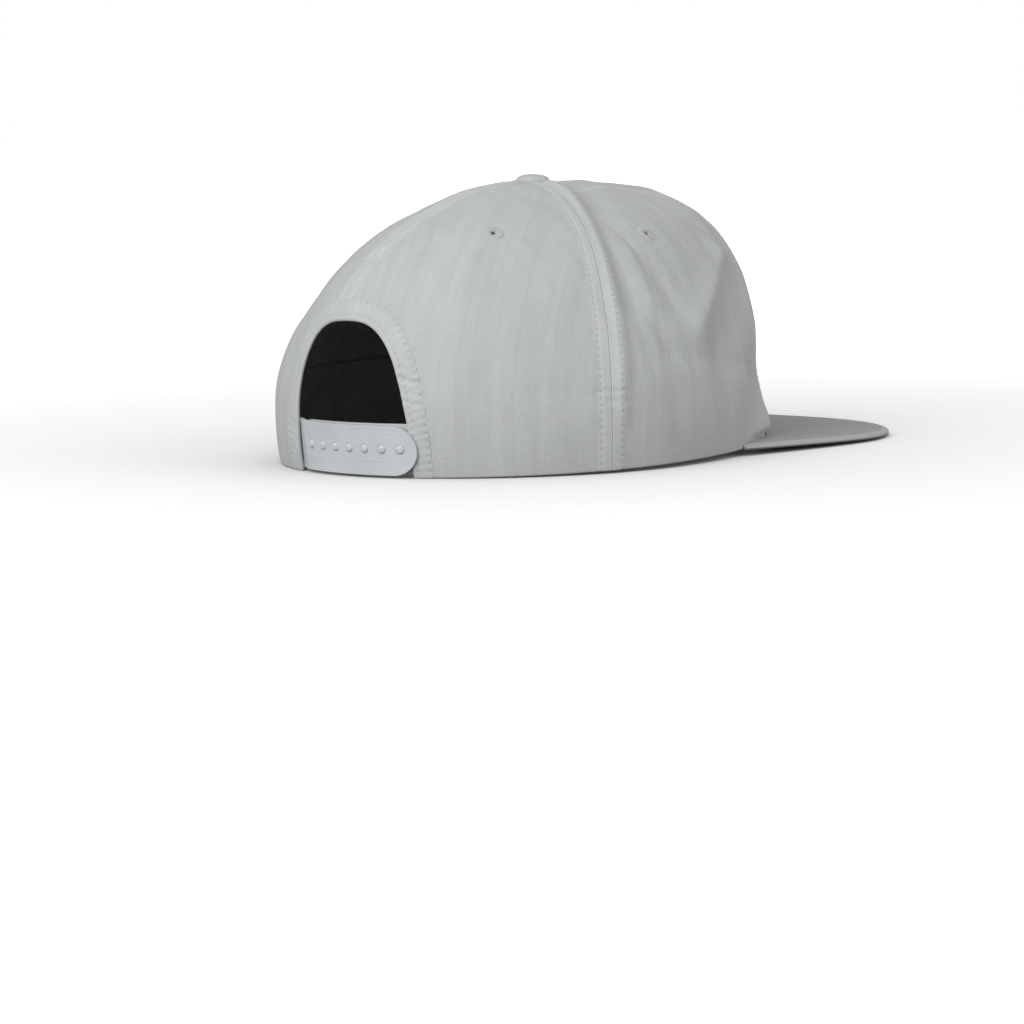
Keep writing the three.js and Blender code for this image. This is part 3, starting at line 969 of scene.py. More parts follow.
@dataclass(frozen=True)
class Stitching:
    """Rows of small thread stitches, each a copy of one spindle whose ends are pulled down."""

    pitch: float = STITCH_PITCH
    length: float = 2.2
    radius: float = 0.15
    sink: float = 0.09
    bow: float = 0.22

    def spindle(self) -> tuple[Array, list[tuple[int, ...]]]:
        """Model one stitch along X, on the origin.

        Returns:
            Its points in millimetres and its faces.
        """
        bpy.ops.mesh.primitive_uv_sphere_add(segments=6, ring_count=5, radius=1, rotation=(0, math.pi / 2, 0))
        stitch = bpy.context.object
        bpy.ops.object.transform_apply(location=True, rotation=True, scale=True)
        points = read_points(stitch) * MM
        points *= np.array([self.length / 2, self.radius, self.radius])
        points[:, 2] -= self.bow * (2 * points[:, 0] / self.length) ** 2
        faces = [tuple(face.vertices) for face in stitch.data.polygons]
        bpy.data.objects.remove(stitch)
        return points, faces

    def sew(self, name: str, lines: list[tuple[Array, Array]]) -> Piece:
        """Copy the stitch along lines.

        Args:
            name: Name of the joined object.
            lines: Points along each row, and the outward direction at each.

        Returns:
            All the rows as one object.
        """
        template, template_faces = self.spindle()
        points, faces = [], []
        for line, outward in lines:
            run = run_length(line)
            places = np.arange(self.pitch / 2, run[-1] - self.pitch / 2, self.pitch)
            middle = along_line(line, places)
            ahead = along_line(line, places + 0.4) - along_line(line, places - 0.4)
            up = np.stack([np.interp(places, run, outward[:, k]) for k in range(3)], axis=1)
            forward = unit(ahead)
            side = unit(np.cross(unit(up), forward))
            top = np.cross(forward, side)
            for at, x, y, z in zip(middle, forward, side, top):
                first = len(points) * len(template)
                points.append(at - z * self.sink + template @ np.stack([x, y, z]))
                faces.extend(tuple(first + corner for corner in face) for face in template_faces)
        return make_mesh(name, np.concatenate(points), faces, {})


STITCHING = Stitching()


# The panels


@dataclass(frozen=True)
class Seam:
    """A seam from rim to apex.

    It has a plan angle at the rim, a drift forward and a spread at the top. Its raised strip flattens
    from a distance above the rim.
    """

    at_rim: float
    drift: float
    power: float
    spread: float = 0.0
    flat_from: float = 400.0

    def angle(self, level: Array) -> Array:
        """Plan angle on the wearer's left at a level."""
        return self.at_rim - self.drift * level**self.power + self.spread * level**24


FRONT_SEAM = Seam(49, 22, 3, 60, 90)
REAR_SEAM = Seam(110.6, 11.3, 2.3)
BACK_SEAM = Seam(172, -8, 4)


@dataclass(frozen=True)
class Border:
    """A panel's side: which seam it is on, on which hand, and a whole turn where angles pass 180.

    Proud is a rise at the very seam, and ridge the height of a swollen band beside it. Gather and slant are
    the depth and lean of the pulls across the seam, strip the rise of the cloth folded back under it.
    """

    seam: Seam
    hand: Hand
    turn: float = 0.0
    proud: float = 0.0
    ridge: float = 0.0
    gather: float = 0.0
    slant: float = 0.9
    strip: float = 0.4
    sewn_down: bool = True

    def angle(self, level: Array) -> Array:
        """Plan angle of the border at a level."""
        return self.turn + self.hand.value * self.seam.angle(level)


@dataclass(frozen=True)
class Arch:
    """The opening at the back, in x across and z up, and how wide its edge is bound."""

    centre: float = -1.3
    half_width: float = 27.5
    height: float = 56.6
    roundness: float = 2.8
    lean: float = 0.12
    lean_from: float = 20.0
    bound: float = 7.2

    def outline(self, turn: Array, margin: Array) -> tuple[Array, Array]:
        """Follow the opening grown by a margin.

        Args:
            turn: Turns from 0 at the left foot to pi at the right one.
            margin: The margin at each.

        Returns:
            x across and z up.
        """
        power = 2 / self.roundness
        cos, sin = np.cos(turn), np.maximum(0, np.sin(turn))
        z = (self.height + margin) * sin**power
        x = (self.half_width + margin) * np.sign(cos) * np.abs(cos) ** power
        return self.centre + x + self.lean * np.maximum(0, z - self.lean_from), z

    def margin(self, x: Array, z: Array) -> Array:
        """How far the opening must grow to reach a place.

        Args:
            x: Places across the back.
            z: Their heights.

        Returns:
            The margin at each, found by halving.
        """
        x = np.abs(x - self.centre - self.lean * np.maximum(0, z - self.lean_from))
        low, high = np.full(np.shape(x), -27.0), np.full(np.shape(x), 90.0)
        for _ in range(26):
            middle = (low + high) / 2
            size = (x / (self.half_width + middle)) ** self.roundness
            size = size + (np.maximum(0, z) / (self.height + middle)) ** self.roundness
            low = np.where(size > 1, middle, low)
            high = np.where(size > 1, high, middle)
        return (low + high) / 2


ARCH = Arch()

# Distances of the columns next to a seam, and of the rows next to the rim.
SEAM_COLUMNS = np.array(
    [0, 0.1, 0.25, 0.5, 0.8, 1.2, 1.8, 2.5, 3.2, 3.8, 4.4, 5.0, 5.6, 6.3, 7.3, 8.6, 10.2, 12.0]
)
RIM_ROWS = np.array([0, 0.1, 0.25, 0.5, 0.85, 1.3, 1.9, 2.6])


@dataclass(frozen=True)
class EyeletPlace:
    """Where a ventilation hole is, on one hand."""

    node: str
    angle: float
    height: float
    hand: Hand

    def seat(self) -> tuple[Array, Array]:
        """Find it on the cloth.

        Returns:
            Its point and the outward direction there.
        """
        angle = np.array([self.hand.value * self.angle])
        level = np.array([self.height / CROWN.height])
        return CROWN.cloth(angle, level, np.zeros(1))[0], CROWN.normal(angle, level)[0]


EYELET_PLACES = (
    EyeletPlace("eyelet_side_left", 80.8, 82.7, Hand.LEFT),
    EyeletPlace("eyelet_side_right", 80.8, 82.7, Hand.RIGHT),
    EyeletPlace("eyelet_back_left", 138.5, 86.9, Hand.LEFT),
    EyeletPlace("eyelet_back_right", 138.5, 86.9, Hand.RIGHT),
)


@dataclass
class Panel:
    """One cloth panel of the crown, sewn along both its sides."""

    node: str
    start: Border
    end: Border
    arched: bool = False
    column_step: float = 1.6
    row_step: float = 0.85
    rows_at: float = 120.0
    half_gap: float = 0.05
    edge: float = 0.55
    allowance: float = 5.4
    eyelet_cut: float = 2.0
    grids: dict[str, Array] = field(default_factory=dict)

    def rises(self) -> Array:
        """Space the rows evenly at one plan angle, the same for every panel.

        Returns:
            Shares of the top level, from 0 at the rim to 1.
        """
        share = np.linspace(0, 1, 2000)
        level = share * np.interp(self.rows_at, TOP_ANGLES, TOP_LEVELS)
        run = run_length(CROWN.smooth(np.full(level.shape, self.rows_at), level))
        count = round((run[-1] - RIM_ROWS[-1]) / self.row_step)
        places = np.concatenate([RIM_ROWS, np.linspace(RIM_ROWS[-1], run[-1], count + 1)[1:]])
        return np.interp(places, run, share)

    def across(self, rise: Array, share: Array) -> tuple[Array, Array]:
        """Find places between the two sides.

        Args:
            rise: Shares of the top level, one a row.
            share: Shares of the way from the starting side to the other.

        Returns:
            Plan angles and levels.
        """
        rough = self.start.angle(rise) * (1 - share) + self.end.angle(rise) * share
        level = np.interp(rough, TOP_ANGLES, TOP_LEVELS) * rise
        return self.start.angle(level) * (1 - share) + self.end.angle(level) * share, level

    def lay_out(self) -> None:
        """Work out the grid of angles and levels, and each point's distance from the two seams."""
        rise = self.rises()[:, None]
        fine = np.linspace(0, 1, 321)[None, :]
        points = CROWN.smooth(*self.across(rise, fine))
        steps = np.linalg.norm(np.diff(points, axis=1), axis=-1)
        arc = np.concatenate([np.zeros((len(rise), 1)), np.cumsum(steps, axis=1)], axis=1)
        length = arc[:, -1]
        middle = max(8, round((length.max() - 2 * SEAM_COLUMNS[-1]) / self.column_step))
        scale = np.minimum(1, length / (2.5 * SEAM_COLUMNS[-1]))[:, None]
        near = SEAM_COLUMNS[None, :] * scale
        far = length[:, None] - near[:, ::-1]
        between = np.linspace(0, 1, middle + 1)[None, 1:-1]
        inner = near[:, -1:] + (far[:, :1] - near[:, -1:]) * between
        place = np.concatenate([near, inner, far], axis=1)
        place = self.half_gap + place * (1 - 2 * self.half_gap / length[:, None])
        share = np.stack([np.interp(place[j], arc[j], fine[0]) for j in range(len(rise))])
        angle, level = self.across(rise, share)
        start, end = place - self.half_gap, length[:, None] - place - self.half_gap
        self.grids = {
            "angle": angle,
            "level": level,
            "start": start,
            "end": end,
            "nearest": np.minimum(start, end),
            "from_start": start < end,
            "start_run": run_length(points[:, 0])[:, None],
            "end_run": run_length(points[:, -1])[:, None],
            "length": length[:, None],
        }

    def seam_relief(self, distance: Array, run: Array, border: Border) -> Array:
        """How the sewn seam shapes the cloth beside it.

        Args:
            distance: Distance from the seam.
            run: Distance along the seam from the rim.
            border: The panel's side.

        Returns:
            Rise of the cloth.
        """
        beat = np.cos(2 * math.pi * run / STITCHING.pitch)
        uneven = 0.75 + 0.25 * np.sin(run / 7.3 + SEAM_ROW) + 0.2 * np.sin(run / 3.1)
        flat = float(border.sewn_down)
        raised = border.strip * (1 - 0.75 * smooth((run - border.seam.flat_from) / 20))
        strip = raised * smooth((SEAM_ROW + 1.3 - distance) / 1.2)
        trough = flat * -0.17 * bell(distance - SEAM_ROW, 0.7) * (1 + 0.4 * beat)
        pucker = flat * 0.08 * uneven * beat * bell(distance - SEAM_ROW, 2.2)
        swollen = smooth(distance / 5.4) * (1 - smooth((distance - 6.2) / 4.4))
        lifted = border.ridge * smooth((run - 8) / 30) * swollen
        shoulder = border.proud * np.exp(-distance / 1.6) + lifted
        wander = run + 1.9 * np.sin(run / 4.3) + 0.8 * np.sin(run / 1.9) + border.slant * distance
        patchy = 0.55 + 0.3 * np.sin(run / 6.1) + 0.25 * np.sin(run / 2.7 + 0.4 * distance)
        waves = np.sin(2 * math.pi * wander / 4.1) * bell(distance - 2.8, 3.2)
        drawn = border.gather * patchy * (0.5 + 0.9 * smooth((run - 20) / 30)) * waves
        return strip + trough - pucker + shoulder + drawn - rounding(distance, 0.32 if flat else 0.22)

    def relief(self, points: Array) -> Array:
        """Rise of the outer face over the plain folded cloth.

        Args:
            points: The grid's points on the smooth crown.

        Returns:
            The rise at each point.
        """
        grids = self.grids
        first = self.seam_relief(grids["start"], grids["start_run"], self.start)
        second = self.seam_relief(grids["end"], grids["end_run"], self.end)
        rise = np.where(grids["from_start"], first, second)
        rise = rise - rounding(points[..., 2] - points[:1, :, 2], self.edge)
        for place in EYELET_PLACES:
            centre, _ = place.seat()
            away = np.linalg.norm(points - centre, axis=-1)
            around = np.arctan2(points[..., 2] - centre[2], points[..., 1] + points[..., 0])
            drawn = 0.1 * np.cos(9 * around) * bell(away - 5.2, 1.8)
            rise = rise - 0.45 * bell(away, 4.2) + drawn
        if self.arched:
            margin = ARCH.margin(points[..., 0], points[..., 2])
            rise = rise - 0.6 * smooth((ARCH.bound + 0.15 - margin) / 0.5)
        return rise

    def build(self) -> Piece:
        """Model the panel.

        Returns:
            A closed wall with UV maps for its weave and its stitch rows.
        """
        self.lay_out()
        grids = self.grids
        angle, level = grids["angle"], grids["level"]
        points = CROWN.smooth(angle, level)
        normal = CROWN.normal(angle, level)
        common = CROWN.rise(points)
        nearest, from_start = grids["nearest"], grids["from_start"]
        outer = points + normal * (common + self.relief(points))[..., None]
        backing = CROWN.wall + 0.3 * smooth((self.allowance - nearest) / 0.8) - rounding(nearest, 0.5)
        backing = backing - rounding(points[..., 2] - points[:1, :, 2], self.edge)
        inner = points + normal * (common - backing)[..., None]
        keep = np.ones((angle.shape[0] - 1, angle.shape[1] - 1), bool)
        middle = (points[1:, 1:] + points[:-1, :-1]) / 2
        for place in EYELET_PLACES:
            keep &= np.linalg.norm(middle - place.seat()[0], axis=-1) > self.eyelet_cut
        if self.arched:
            keep &= (ARCH.margin(middle[..., 0], middle[..., 2]) > ARCH.bound - 2) | (middle[..., 1] < 0)
        grids["outer"], grids["normal"] = outer, normal
        across = grids["start"] - grids["length"] / 2
        run = np.where(from_start, grids["start_run"], grids["end_run"])
        bare = np.where(from_start, not self.start.sewn_down, not self.end.sewn_down)
        # Beside a bare seam the map jumps over the row: the strip keeps its painted highlight and has no
        # holes.
        unsewn = np.where(nearest <= SEAM_ROW, 0.6 * nearest, 50 + nearest)
        maps = {
            "weave": np.stack(np.broadcast_arrays(across, grids["start_run"]), axis=-1) / MAP_UNIT,
            "rows": np.stack([run, np.where(bare, unsewn, nearest)], axis=-1) / MAP_UNIT,
        }
        return grid_wall(f"sewn_{self.node}", outer, inner, maps, keep)

    def row_line(self, from_start: bool, distance: float) -> tuple[Array, Array]:
        """A line on the outer face at a distance from one of its seams.

        Args:
            from_start: Whether it keeps its distance from the starting seam.
            distance: That distance.

        Returns:
            Points from rim to apex, and the outward direction at each.
        """
        grids, step = self.grids, 1 if from_start else -1
        place = grids["start" if from_start else "end"][:, ::step]
        rows = [j for j in range(len(place)) if grids["length"][j, 0] > 2.2 * distance]
        line, outward = (
            np.array([[np.interp(distance, place[j], grid[j, ::step, k]) for k in range(3)] for j in rows])
            for grid in (grids["outer"], grids["normal"])
        )
        return line, outward


@dataclass
class PanelledCrown:
    """The five panels and the stitching beside their seams."""

    panels: tuple[Panel, ...] = (
        Panel("front_panel", Border(FRONT_SEAM, Hand.RIGHT), Border(FRONT_SEAM, Hand.LEFT)),
        Panel(
            "side_panel_left",
            Border(FRONT_SEAM, Hand.LEFT),
            Border(REAR_SEAM, Hand.LEFT, proud=0.2, ridge=1.4),
        ),
        Panel(
            "back_panel_left",
            Border(REAR_SEAM, Hand.LEFT),
            Border(BACK_SEAM, Hand.LEFT, gather=0.3, strip=0.22, sewn_down=False),
            arched=True,
        ),
        Panel(
            "back_panel_right",
            Border(BACK_SEAM, Hand.LEFT, gather=0.36, slant=-0.9, strip=0.24, sewn_down=False),
            Border(REAR_SEAM, Hand.RIGHT, turn=360),
            arched=True,
        ),
        Panel(
            "side_panel_right",
            Border(REAR_SEAM, Hand.RIGHT, turn=360, proud=0.2, ridge=1.4),
            Border(FRONT_SEAM, Hand.RIGHT, turn=360),
        ),
    )

    def build(self, wardrobe: Wardrobe) -> None:
        """Model and dress the panels and their stitch rows.

        Args:
            wardrobe: The finishes.
        """
        lines = []
        for panel in self.panels:
            wardrobe.dress(panel.build(), CAP_CLOTH, panel.node)
            for from_start, border in ((True, panel.start), (False, panel.end)):
                if not border.sewn_down:
                    continue
                line, outward = panel.row_line(from_start, SEAM_ROW)
                if panel.arched:
                    clear = (ARCH.margin(line[:, 0], line[:, 2]) > ARCH.bound + 1) | (line[:, 1] < 0)
                    line, outward = line[clear], outward[clear]
                lines.append((line, outward))
        wardrobe.dress(STITCHING.sew("seam_stitches", lines), SEWING_THREAD)


@dataclass(frozen=True)
class BandCrease:
    """A crease across the binding: its two ends as x and z, its depth and its width."""

    first: tuple[float, float]
    last: tuple[float, float]
    depth: float
    width: float = 0.8


@dataclass(frozen=True)
class ArchBinding:
    """The folded strip round the arch, rolled at the opening and stitched twice."""

    node: str = "arch_binding"
    proud: float = 0.26
    under: float = 1.42
    columns: int = 330
    creases: tuple[BandCrease, ...] = (
        BandCrease((-24.2, 40.0), (-30.0, 37.8), 0.3, 0.4),
        BandCrease((-24.8, 36.9), (-32.2, 34.2), 0.62, 0.45),
        BandCrease((-26.4, 31.6), (-33.6, 29.2), 0.26, 0.5),
        BandCrease((-26.9, 28.6), (-34.0, 26.4), 0.3, 0.5),
        BandCrease((18.0, 52.0), (24.0, 57.0), 0.16),
        BandCrease((-12.0, 52.0), (-17.5, 58.0), 0.16),
    )

    def section(self) -> tuple[Array, Array]:
        """Draw the strip's closed outline.

        Returns:
            Margins from the opening, and distances out from the cloth.
        """
        half = (self.proud + self.under) / 2
        turn = np.linspace(0, math.pi, 11)
        flat = np.array([7.2, 7.15, 7.0, 6.8, 6.5, 6.2, 5.8, 5.2, 4.6, 4.0, 3.4, 2.8, 2.4, 2.0, 1.6, 1.2])
        lift = self.proud - 0.2 * smooth((flat - 5.4) / 1.4) - rounding(ARCH.bound - flat, 0.15)
        margins = np.concatenate([flat, half - half * np.sin(turn), [2, 4, 6.6, 7.1]])
        out = np.concatenate([lift, (self.proud - half) + half * np.cos(turn), [-self.under] * 3, [-1.2]])
        return margins, out

    def build(self, wardrobe: Wardrobe) -> None:
        """Model and dress the strip and its two stitch rows.

        Args:
            wardrobe: The finishes.
        """
        turns = np.linspace(0, math.pi, 2000)
        x, z = ARCH.outline(turns, np.full(turns.shape, 3.6))
        run = run_length(np.stack([x, z], axis=1))
        turn = np.interp(np.linspace(0, run[-1], self.columns), run, turns)
        along = np.linspace(0, run[-1], self.columns)[:, None]
        margins, out = self.section()
        x, z = ARCH.outline(turn[:, None], margins[None, :])
        angle, level = CROWN.on_back(x, z)
        outside = np.broadcast_to((out > -0.9)[None, :], x.shape)
        rise = np.where(outside, self.relief(x, z, margins[None, :], along), 0)
        points = CROWN.cloth(angle, level, out[None, :] + rise)
        index = np.arange(x.size).reshape(x.shape)
        after = np.roll(index, -1, axis=1)
        quads = np.stack([index[:-1], after[:-1], after[1:], index[1:]], -1).reshape(-1, 4)
        faces = quads.tolist() + [index[0][::-1].tolist(), index[-1].tolist()]
        weave = np.stack(np.broadcast_arrays(along, margins[None, :]), axis=-1).reshape(-1, 2) / MAP_UNIT
        piece = make_mesh("folded_binding", points.reshape(-1, 3), faces, {"weave": weave, "rows": weave})
        wardrobe.dress(piece, BINDING_CLOTH, self.node)
        normal = CROWN.normal(angle, level)
        lines = []
        for place in BINDING_CLOTH.rows:
            column = int(np.argmin(np.abs(margins - place)))
            lines.append((points[4:-4, column], normal[4:-4, column]))
        wardrobe.dress(STITCHING.sew("arch_stitches", lines), SEWING_THREAD)

    def relief(self, x: Array, z: Array, margin: Array, along: Array) -> Array:
        """Rise of the strip's outer face: stitch troughs, puckers, creases and folded layers.

        Args:
            x: Places across the back.
            z: Their heights.
            margin: Their margins from the opening.
            along: Their distances along the strip.

        Returns:
            The rise at each place.
        """
        beat = np.cos(2 * math.pi * along / STITCHING.pitch)
        rise = -0.06 * beat * bell(margin - 4.2, 2.6)
        for row, depth in zip(BINDING_CLOTH.rows, (0.05, 0.15)):
            rise = rise - depth * bell(margin - row, 0.6) * (1 + 0.4 * beat)
        for crease in self.creases:
            start, reach = np.array(crease.first), np.array(crease.last) - np.array(crease.first)
            share = np.clip(((x - start[0]) * reach[0] + (z - start[1]) * reach[1]) / (reach @ reach), 0, 1)
            away = np.hypot(x - start[0] - share * reach[0], z - start[1] - share * reach[1])
            side = np.exp(-away / crease.width)
            rise = rise - crease.depth * side + 0.4 * crease.depth * bell(away - 1.7, 0.9)
        band_mask = smooth((26 - z) / 9) * (x > 0)
        return rise + 0.24 * band_mask * np.cos(2 * math.pi * margin / 1.75)


# The brim, the band inside and the small parts


@dataclass(frozen=True)
class Brim:
    """A flat board covered with cloth and stitched in rows that follow its edge."""

    node: str = "brim"
    reach: float = BRIM_REACH
    half_width: float = 83.1
    widest_at: float = 106.0
    roundness: float = 2.4
    corner_x: float = 77.6
    corner_y: float = BRIM_CORNER
    taper: float = 1.6
    cut_at: float = 48.0
    thick: float = 3.0
    edge: float = 1.1
    lift: float = 0.08
    pad: float = 0.12
    fall: float = 1.45
    fall_within: float = 8.0
    curve_share: float = 0.6
    rows_within: float = 60.0
    columns: int = 260
    rows_inward: int = 60
    edge_rows: tuple[float, ...] = (0, 0.12, 0.3, 0.55, 0.9, 1.35, 2.0)

    def outer(self, share: Array) -> Array:
        """Follow the edge on the wearer's left.

        Args:
            share: Shares of the way from the front centre to the rear corner.

        Returns:
            Points in plan.
        """
        turn = np.clip(share / self.curve_share, 0, 1) * math.pi / 2
        power = 2 / self.roundness
        x = self.half_width * np.sin(turn) ** power
        y = -(self.widest_at + (self.reach - self.widest_at) * np.maximum(0, np.cos(turn)) ** power)
        whole = (self.widest_at - self.cut_at) / (self.widest_at - self.corner_y)
        along = whole * np.clip((share - self.curve_share) / (1 - self.curve_share), 0, 1)
        side_x = self.half_width + (self.corner_x - self.half_width) * along**self.taper
        side_y = -(self.widest_at + (self.corner_y - self.widest_at) * along)
        side = share >= self.curve_share
        return np.stack([np.where(side, side_x, x), np.where(side, side_y, y)], axis=-1)

    def inner(self, share: Array) -> Array:
        """Follow the crown's rim, a gap outside it.

        Args:
            share: Shares of the way from the front centre to the rear corner.

        Returns:
            Points in plan.
        """
        corner = math.degrees(math.acos(self.cut_at / float(CROWN.front.at(np.array(0.0)))))
        angle, level = np.broadcast_arrays(corner * share, 0.0)
        return (CROWN.smooth(angle, level) + CROWN.brim_gap * CROWN.normal(angle, level))[..., :2]

    def outline(self, count: int) -> Array:
        """Follow the whole edge from the right rear corner round the front.

        Args:
            count: How many points to make.

        Returns:
            Points in plan, in even steps.
        """
        share = np.linspace(1, -1, 4001)
        half = self.outer(np.abs(share))
        line = np.stack([half[:, 0] * -np.sign(share), half[:, 1]], axis=1)
        return along_line(line, np.linspace(0, run_length(line)[-1], count))

    def tip(self, flat: Array) -> Array:
        """Set points of the flat board at the brim's slope.

        Args:
            flat: Points with the underside of the board in z = 0.

        Returns:
            Points of the crown's frame.
        """
        slope = math.atan(CROWN.brim_slope)
        cos, sin = math.cos(slope), math.sin(slope)
        y = flat[..., 1] + self.corner_y
        z = flat[..., 2]
        return np.stack([flat[..., 0], y * cos - z * sin - self.corner_y, y * sin + z * cos], axis=-1)

    def droop(self, depth: Array, ahead: Array) -> Array:
        """How far the top falls towards the sides, at a distance in from an edge that runs ahead."""
        sideways = np.abs(ahead[..., 1]) / np.maximum(np.linalg.norm(ahead, axis=-1), 1e-9)
        return self.fall * sideways**2 * smooth((self.fall_within - depth) / self.fall_within) ** 1.5

    def from_edge(self, flat: Array, edge: Array) -> tuple[Array, Array]:
        """Measure points of the board from its edge.

        Args:
            flat: Points in plan.
            edge: The edge in even steps.

        Returns:
            Distances along the edge, and in from it.
        """
        run = run_length(edge)
        along, away = [], []
        for part in np.array_split(flat, math.ceil(len(flat) / 2000)):
            gap = np.linalg.norm(part[:, None, :] - edge[None, :, :], axis=-1)
            along.append(run[gap.argmin(axis=1)])
            away.append(gap.min(axis=1))
        return np.concatenate(along), np.concatenate(away)

    def shares_in(self, reach: Array) -> Array:
        """Space the rows from the edge to the rim, close together next to the edge.

        Args:
            reach: Distance from edge to rim at each column.

        Returns:
            Shares of that distance, columns x rows.
        """
        fine = self.edge_rows[-1]
        evenly = np.linspace(0, 1, self.rows_inward + 1)[None, 1:]
        near = np.array(self.edge_rows)[None, :] / np.maximum(reach[:, None], 3)
        far = (fine + (reach[:, None] - fine) * evenly) / reach[:, None]
        return np.clip(np.concatenate([near, far], axis=1), 0, 1)

    def build(self, wardrobe: Wardrobe) -> None:
        """Model and dress the brim and the stitch rows on both its faces.

        Args:
            wardrobe: The finishes.
        """
        across = np.linspace(-1, 1, self.columns + 1)
        share, hand = np.abs(across), np.where(across < 0, -1, 1)[:, None]
        sided = np.concatenate([hand, np.ones(hand.shape)], axis=1)
        inner, outer = self.inner(share) * sided, self.outer(share) * sided
        reach = np.linalg.norm(outer - inner, axis=1)
        share_in = self.shares_in(reach)
        plan = outer[:, None, :] * (1 - share_in[..., None]) + inner[:, None, :] * share_in[..., None]
        depth = share_in * reach[:, None]
        edge = self.outline(1600)
        along, away = (values.reshape(depth.shape) for values in self.from_edge(plan.reshape(-1, 2), edge))
        fallen = rounding(depth, self.edge) + self.droop(depth, np.gradient(outer, axis=0)[:, None, :])
        pad = self.pad * np.sin(math.pi * np.mod(away, BRIM_ROWS) / BRIM_ROWS) * smooth(away / 3)
        top = np.concatenate([plan, (self.thick - fallen + pad)[..., None]], axis=-1)
        under = rounding(depth, 0.8) - 0.5 * pad + self.lift
        bottom = np.concatenate([plan, under[..., None]], axis=-1)
        maps = {"weave": plan / MAP_UNIT, "rows": np.stack([along, away], axis=-1) / MAP_UNIT}
        piece = grid_wall("covered_brim", self.tip(top), self.tip(bottom), maps)
        wardrobe.dress(piece, PAINTED_SHADE_BRIM_CLOTH, self.node)
        wardrobe.dress(STITCHING.sew("brim_stitches", self.row_lines(edge)), PAINTED_SHADE_BRIM_THREAD)

    def row_lines(self, edge: Array) -> list[tuple[Array, Array]]:
        """Lines of the stitch rows on the top and the underside.

        Args:
            edge: The brim's edge in even steps.

        Returns:
            Points along each row and their outward directions.
        """
        lines = []
        ahead = np.gradient(edge, axis=0)
        inwards = unit(np.stack([-ahead[:, 1], ahead[:, 0]], axis=1))
        centre = np.array([0.0, -self.widest_at])
        inwards *= np.sign(np.sum(inwards * (centre - edge), axis=1))[:, None]
        rim = self.inner(np.linspace(0, 1, 400))
        for row in np.arange(BRIM_ROWS / 2, self.rows_within, BRIM_ROWS):
            line = edge + inwards * row
            gap = np.linalg.norm(line[:, None, :] - edge[None, ::8, :], axis=-1).min(axis=1)
            rim_edge = np.interp(np.abs(line[:, 0]), rim[:, 0], rim[:, 1])
            clear = (gap > row - 0.3) & (line[:, 1] < rim_edge - 2.5) & (line[:, 1] < -self.cut_at - 2)
            top = self.thick - self.droop(np.full(len(line), row), ahead)
            for height, up in ((top, 1.0), (np.full(len(line), self.lift - 0.02), -1.0)):
                flat = np.concatenate([line, height[:, None]], axis=1)[clear]
                lines.append((self.tip(flat), np.tile([0.0, 0.0, up], (len(flat), 1))))
        return lines


@dataclass(frozen=True)
class Sweatband:
    """The cloth band inside, along the rim, open at the arch."""

    node: str = "sweatband"
    bottom: float = 0.5
    top: float = 33.0
    wall: float = 1.0
    depth: float = 1.6
    half_opening: float = 41.0
    columns: int = 420
    edge: float = 0.4

    def heights(self) -> Array:
        """Heights of the rows, close together at both edges."""
        low, high = self.bottom + np.array([0, 0.15, 0.4, 0.8, 1.5]), self.top - np.array([0.6, 0.3, 0.1, 0])
        return np.concatenate([low, np.linspace(3, self.top - 1, 24), high])

    def build(self, wardrobe: Wardrobe) -> None:
        """Model and dress the band.

        Args:
            wardrobe: The finishes.
        """
        reach = float(CROWN.side.at(np.array(0.0)))
        half_angle = 180 - math.degrees(math.asin(self.half_opening / reach))
        height = self.heights()[:, None]
        angle, level = np.broadcast_arrays(
            np.linspace(-half_angle, half_angle, self.columns)[None, :], height / CROWN.height
        )
        plain = CROWN.smooth(angle, level)
        ends = rounding(height - self.bottom, self.edge) + rounding(self.top - height, self.edge)
        loose = 0.25 * (1 + crumple(plain, 26, 5)) * smooth((height - 8) / 16)
        outer = CROWN.cloth(angle, level, -self.depth - ends)
        inner = CROWN.cloth(angle, level, -self.depth - self.wall + ends - np.maximum(0, loose))
        weave = np.stack(np.broadcast_arrays(run_length(plain[0])[None, :], height), axis=-1) / MAP_UNIT
        piece = grid_wall("sewn_sweatband", outer, inner, {"weave": weave, "rows": weave})
        wardrobe.dress(piece, BAND_CLOTH, self.node)


